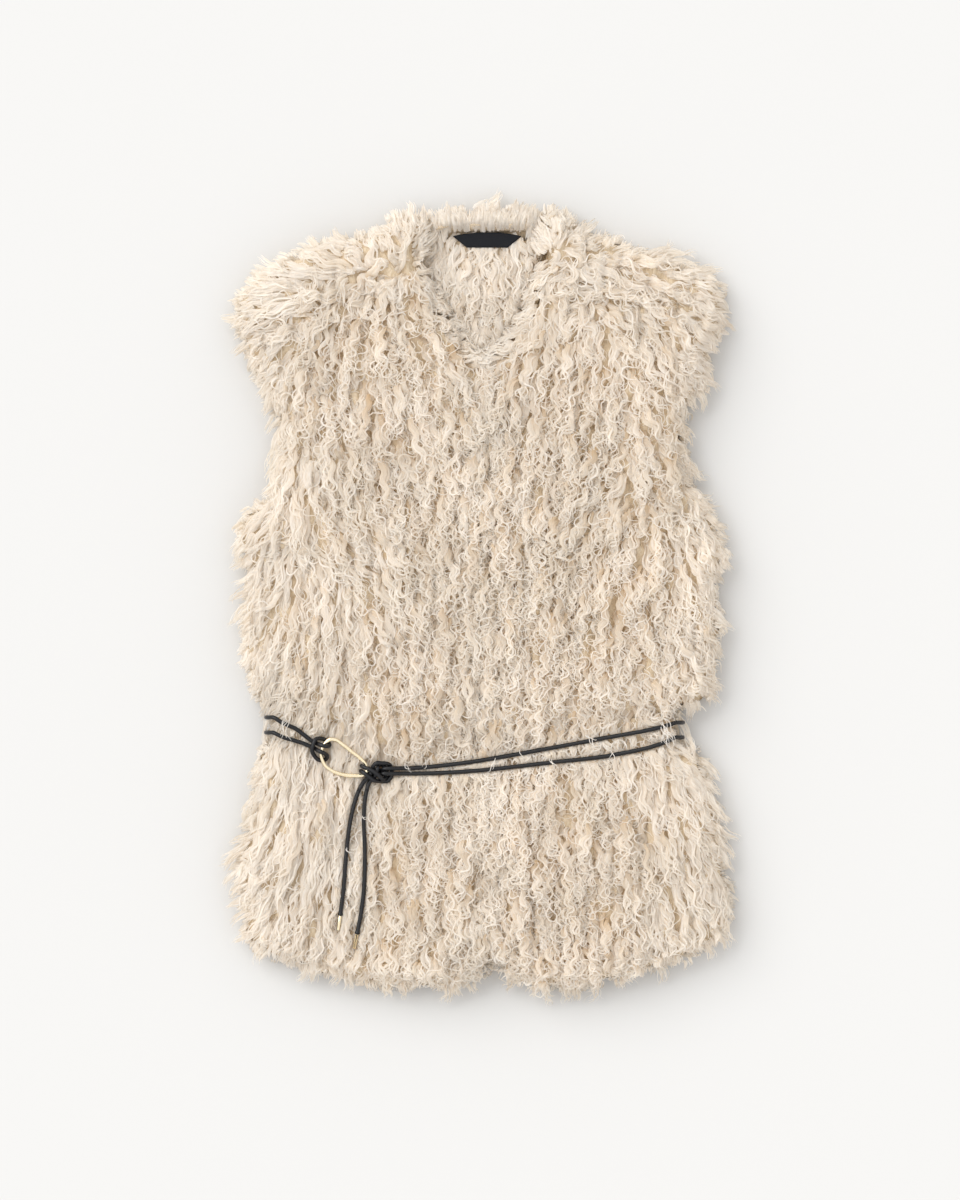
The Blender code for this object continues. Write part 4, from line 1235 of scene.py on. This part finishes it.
def main():
    """The camera and the belt, then the fur, the label and the studio."""
    camera()
    cord = belt()

    fur, under = fur_material(), undercoat_material()
    fronts = bridged(tops(("front_right_panel", "front_left_panel")))
    back = tops(("back_panel",))
    facing = tops(("back_neck_facing",))
    whole = back.like(np.maximum(fronts.values, back.values))
    behind = back.like(np.maximum(facing.values, back.values))
    front_edge, whole_edge, back_edge, facing_edge = (
        edge_distance(field) for field in (fronts, whole, back, facing)
    )
    front_height, whole_height, back_height, behind_height = (
        spread(field, cells) for field, cells in ((fronts, 3), (whole, 3), (back, 2), (behind, 1))
    )
    front_height = furrowed(front_height)
    lids = ceiling([
        *((line, CORD_CLEAR, CORD_LID) for line in resting(cord)),
        (bed(RING_POINTS), CORD_CLEAR, RING_LID),
        (RING_EYE, RING_EYE_REACH, RING_EYE_LID),
        (LABEL_MIDDLE, LABEL_REACH, LABEL_LID),
    ])

    right = undercoat("undercoat_right", "front_right_panel", FRONT_SINK, front_edge, front_height, under)
    left = undercoat("undercoat_left", "front_left_panel", FRONT_SINK, front_edge, front_height, under)
    rear = undercoat("undercoat_back", "back_panel", BACK_SINK, back_edge, None, under)
    inside = undercoat("undercoat_facing", "back_neck_facing", FACING_SINK, facing_edge, None, under)

    rng = np.random.default_rng(SEED)

    def growth(inside, guides, pile, height, edge, hairs):
        locks = lay(rng, scatter(rng, pile["spacing"], inside), guides, pile, edge)
        return [strands(rng, locks, pile, hair, height, edge, lids) for hair in hairs]

    def in_neck(x, y):
        return facing_edge.at(x, y) > -NECK_BEYOND

    def on_front(x, y):
        return front_edge.at(x, y) > ON_FRONT

    def near_outline(x, y):
        return within(whole_edge.at(x, y), *OUTLINE_BAND)

    def at_neck_edge(x, y):
        at_edge = within(front_edge.at(x, y), *NECK_EDGE_BAND)
        return at_edge & within(x, *NECK_EDGE_X) & (y > NECK_EDGE_LOWEST)

    def at_opening(x, y):
        above, below = y > OPENING_Y[0] + OPENING_ROOTS[0], y < OPENING_Y[1] + OPENING_ROOTS[1]
        return within(x, *OPENING_BAND) & above & below

    def at_parting(x, y):
        place = np.column_stack([x.ravel(), y.ravel()])
        opens = 0
        for shift, part in (((PARTING_REACH, 0), np.cos), ((0, PARTING_REACH), np.sin)):
            opens += part(flow(place + shift, FRONT_FLOW)[0]) - part(flow(place - shift, FRONT_FLOW)[0])
        return (opens.reshape(x.shape) / 2 > PARTING_OPENS) & on_front(x, y)

    def on_rim(x, y):
        return within(back_edge.at(x, y), *RIM_BAND)

    def behind_label(x, y):
        low = np.where(np.abs(x - ABOVE_LABEL_X[0]) > ABOVE_LABEL_X[1], FRINGE_Y[0], ABOVE_LABEL_Y)
        inside = back_edge.at(x, y) > FRINGE_INSIDE
        return within(x, *FRINGE_X) & (y > low) & (y < FRINGE_Y[1]) & inside

    def at_wall(x, y):
        return within(whole_edge.at(x, y), *WALL_BAND)

    fronts_fur = growth(on_front, FRONT_FLOW, FRONT_PILE, front_height, front_edge, (LOCK, HAIR))
    fronts_fur += growth(at_opening, FRONT_FLOW, OPENING_PILE, front_height, front_edge, (LOCK, HAIR))
    fronts_fur += growth(at_parting, FRONT_FLOW, PARTING_PILE, front_height, front_edge, (LOCK, HAIR))
    fronts_fur += growth(on_front, FRONT_FLOW, FRIZZ_PILE, front_height, front_edge, (FRIZZ,))
    pile = {}
    for side, sign in (("right", -1), ("left", 1)):
        pile[side] = [
            ribbons(
                f"fur_{side}_{level}", fronts_fur, fur,
                lambda x, y: ((x - MIDDLE_X) * sign > 0) & (y > low) & (y <= high),
            )
            for level, (low, high) in LEVELS.items()
        ]
    outline = growth(near_outline, FRONT_FLOW, OUTLINE_PILE, whole_height, whole_edge, (SPIKE, TUFT))
    neck_edge = growth(at_neck_edge, FRONT_FLOW, NECK_EDGE_PILE, front_height, front_edge, (SPIKE, HAIR))
    neck_inside = growth(in_neck, NECK_FLOW, FACING_PILE, behind_height, facing_edge, (LOCK, HAIR))
    rim = growth(on_rim, FRONT_FLOW, BACK_PILE, back_height, back_edge, (LOCK,))
    wall = []
    for level in WALL_LEVELS:
        wall += growth(at_wall, FRONT_FLOW, dict(WALL_PILE, level=level), whole_height, whole_edge, (SIDE,))
    fringe = growth(behind_label, FRINGE_FLOW, FRINGE_PILE, behind_height, back_edge, (SOFT, FINE))
    pile["left"] += [ribbons("fur_neck_edge", neck_edge, fur), ribbons("fur_strays", [strays(rng)], fur)]
    pile["back"] = [
        ribbons("fur_outline", outline, fur), ribbons("fur_wall", wall, fur),
        ribbons("fur_back_rim", rim, fur), ribbons("fur_neck_fringe", fringe, fur),
    ]
    pile["inside"] = [ribbons("fur_neck_inside", neck_inside, fur)]

    label(label_material())
    studio()


main()
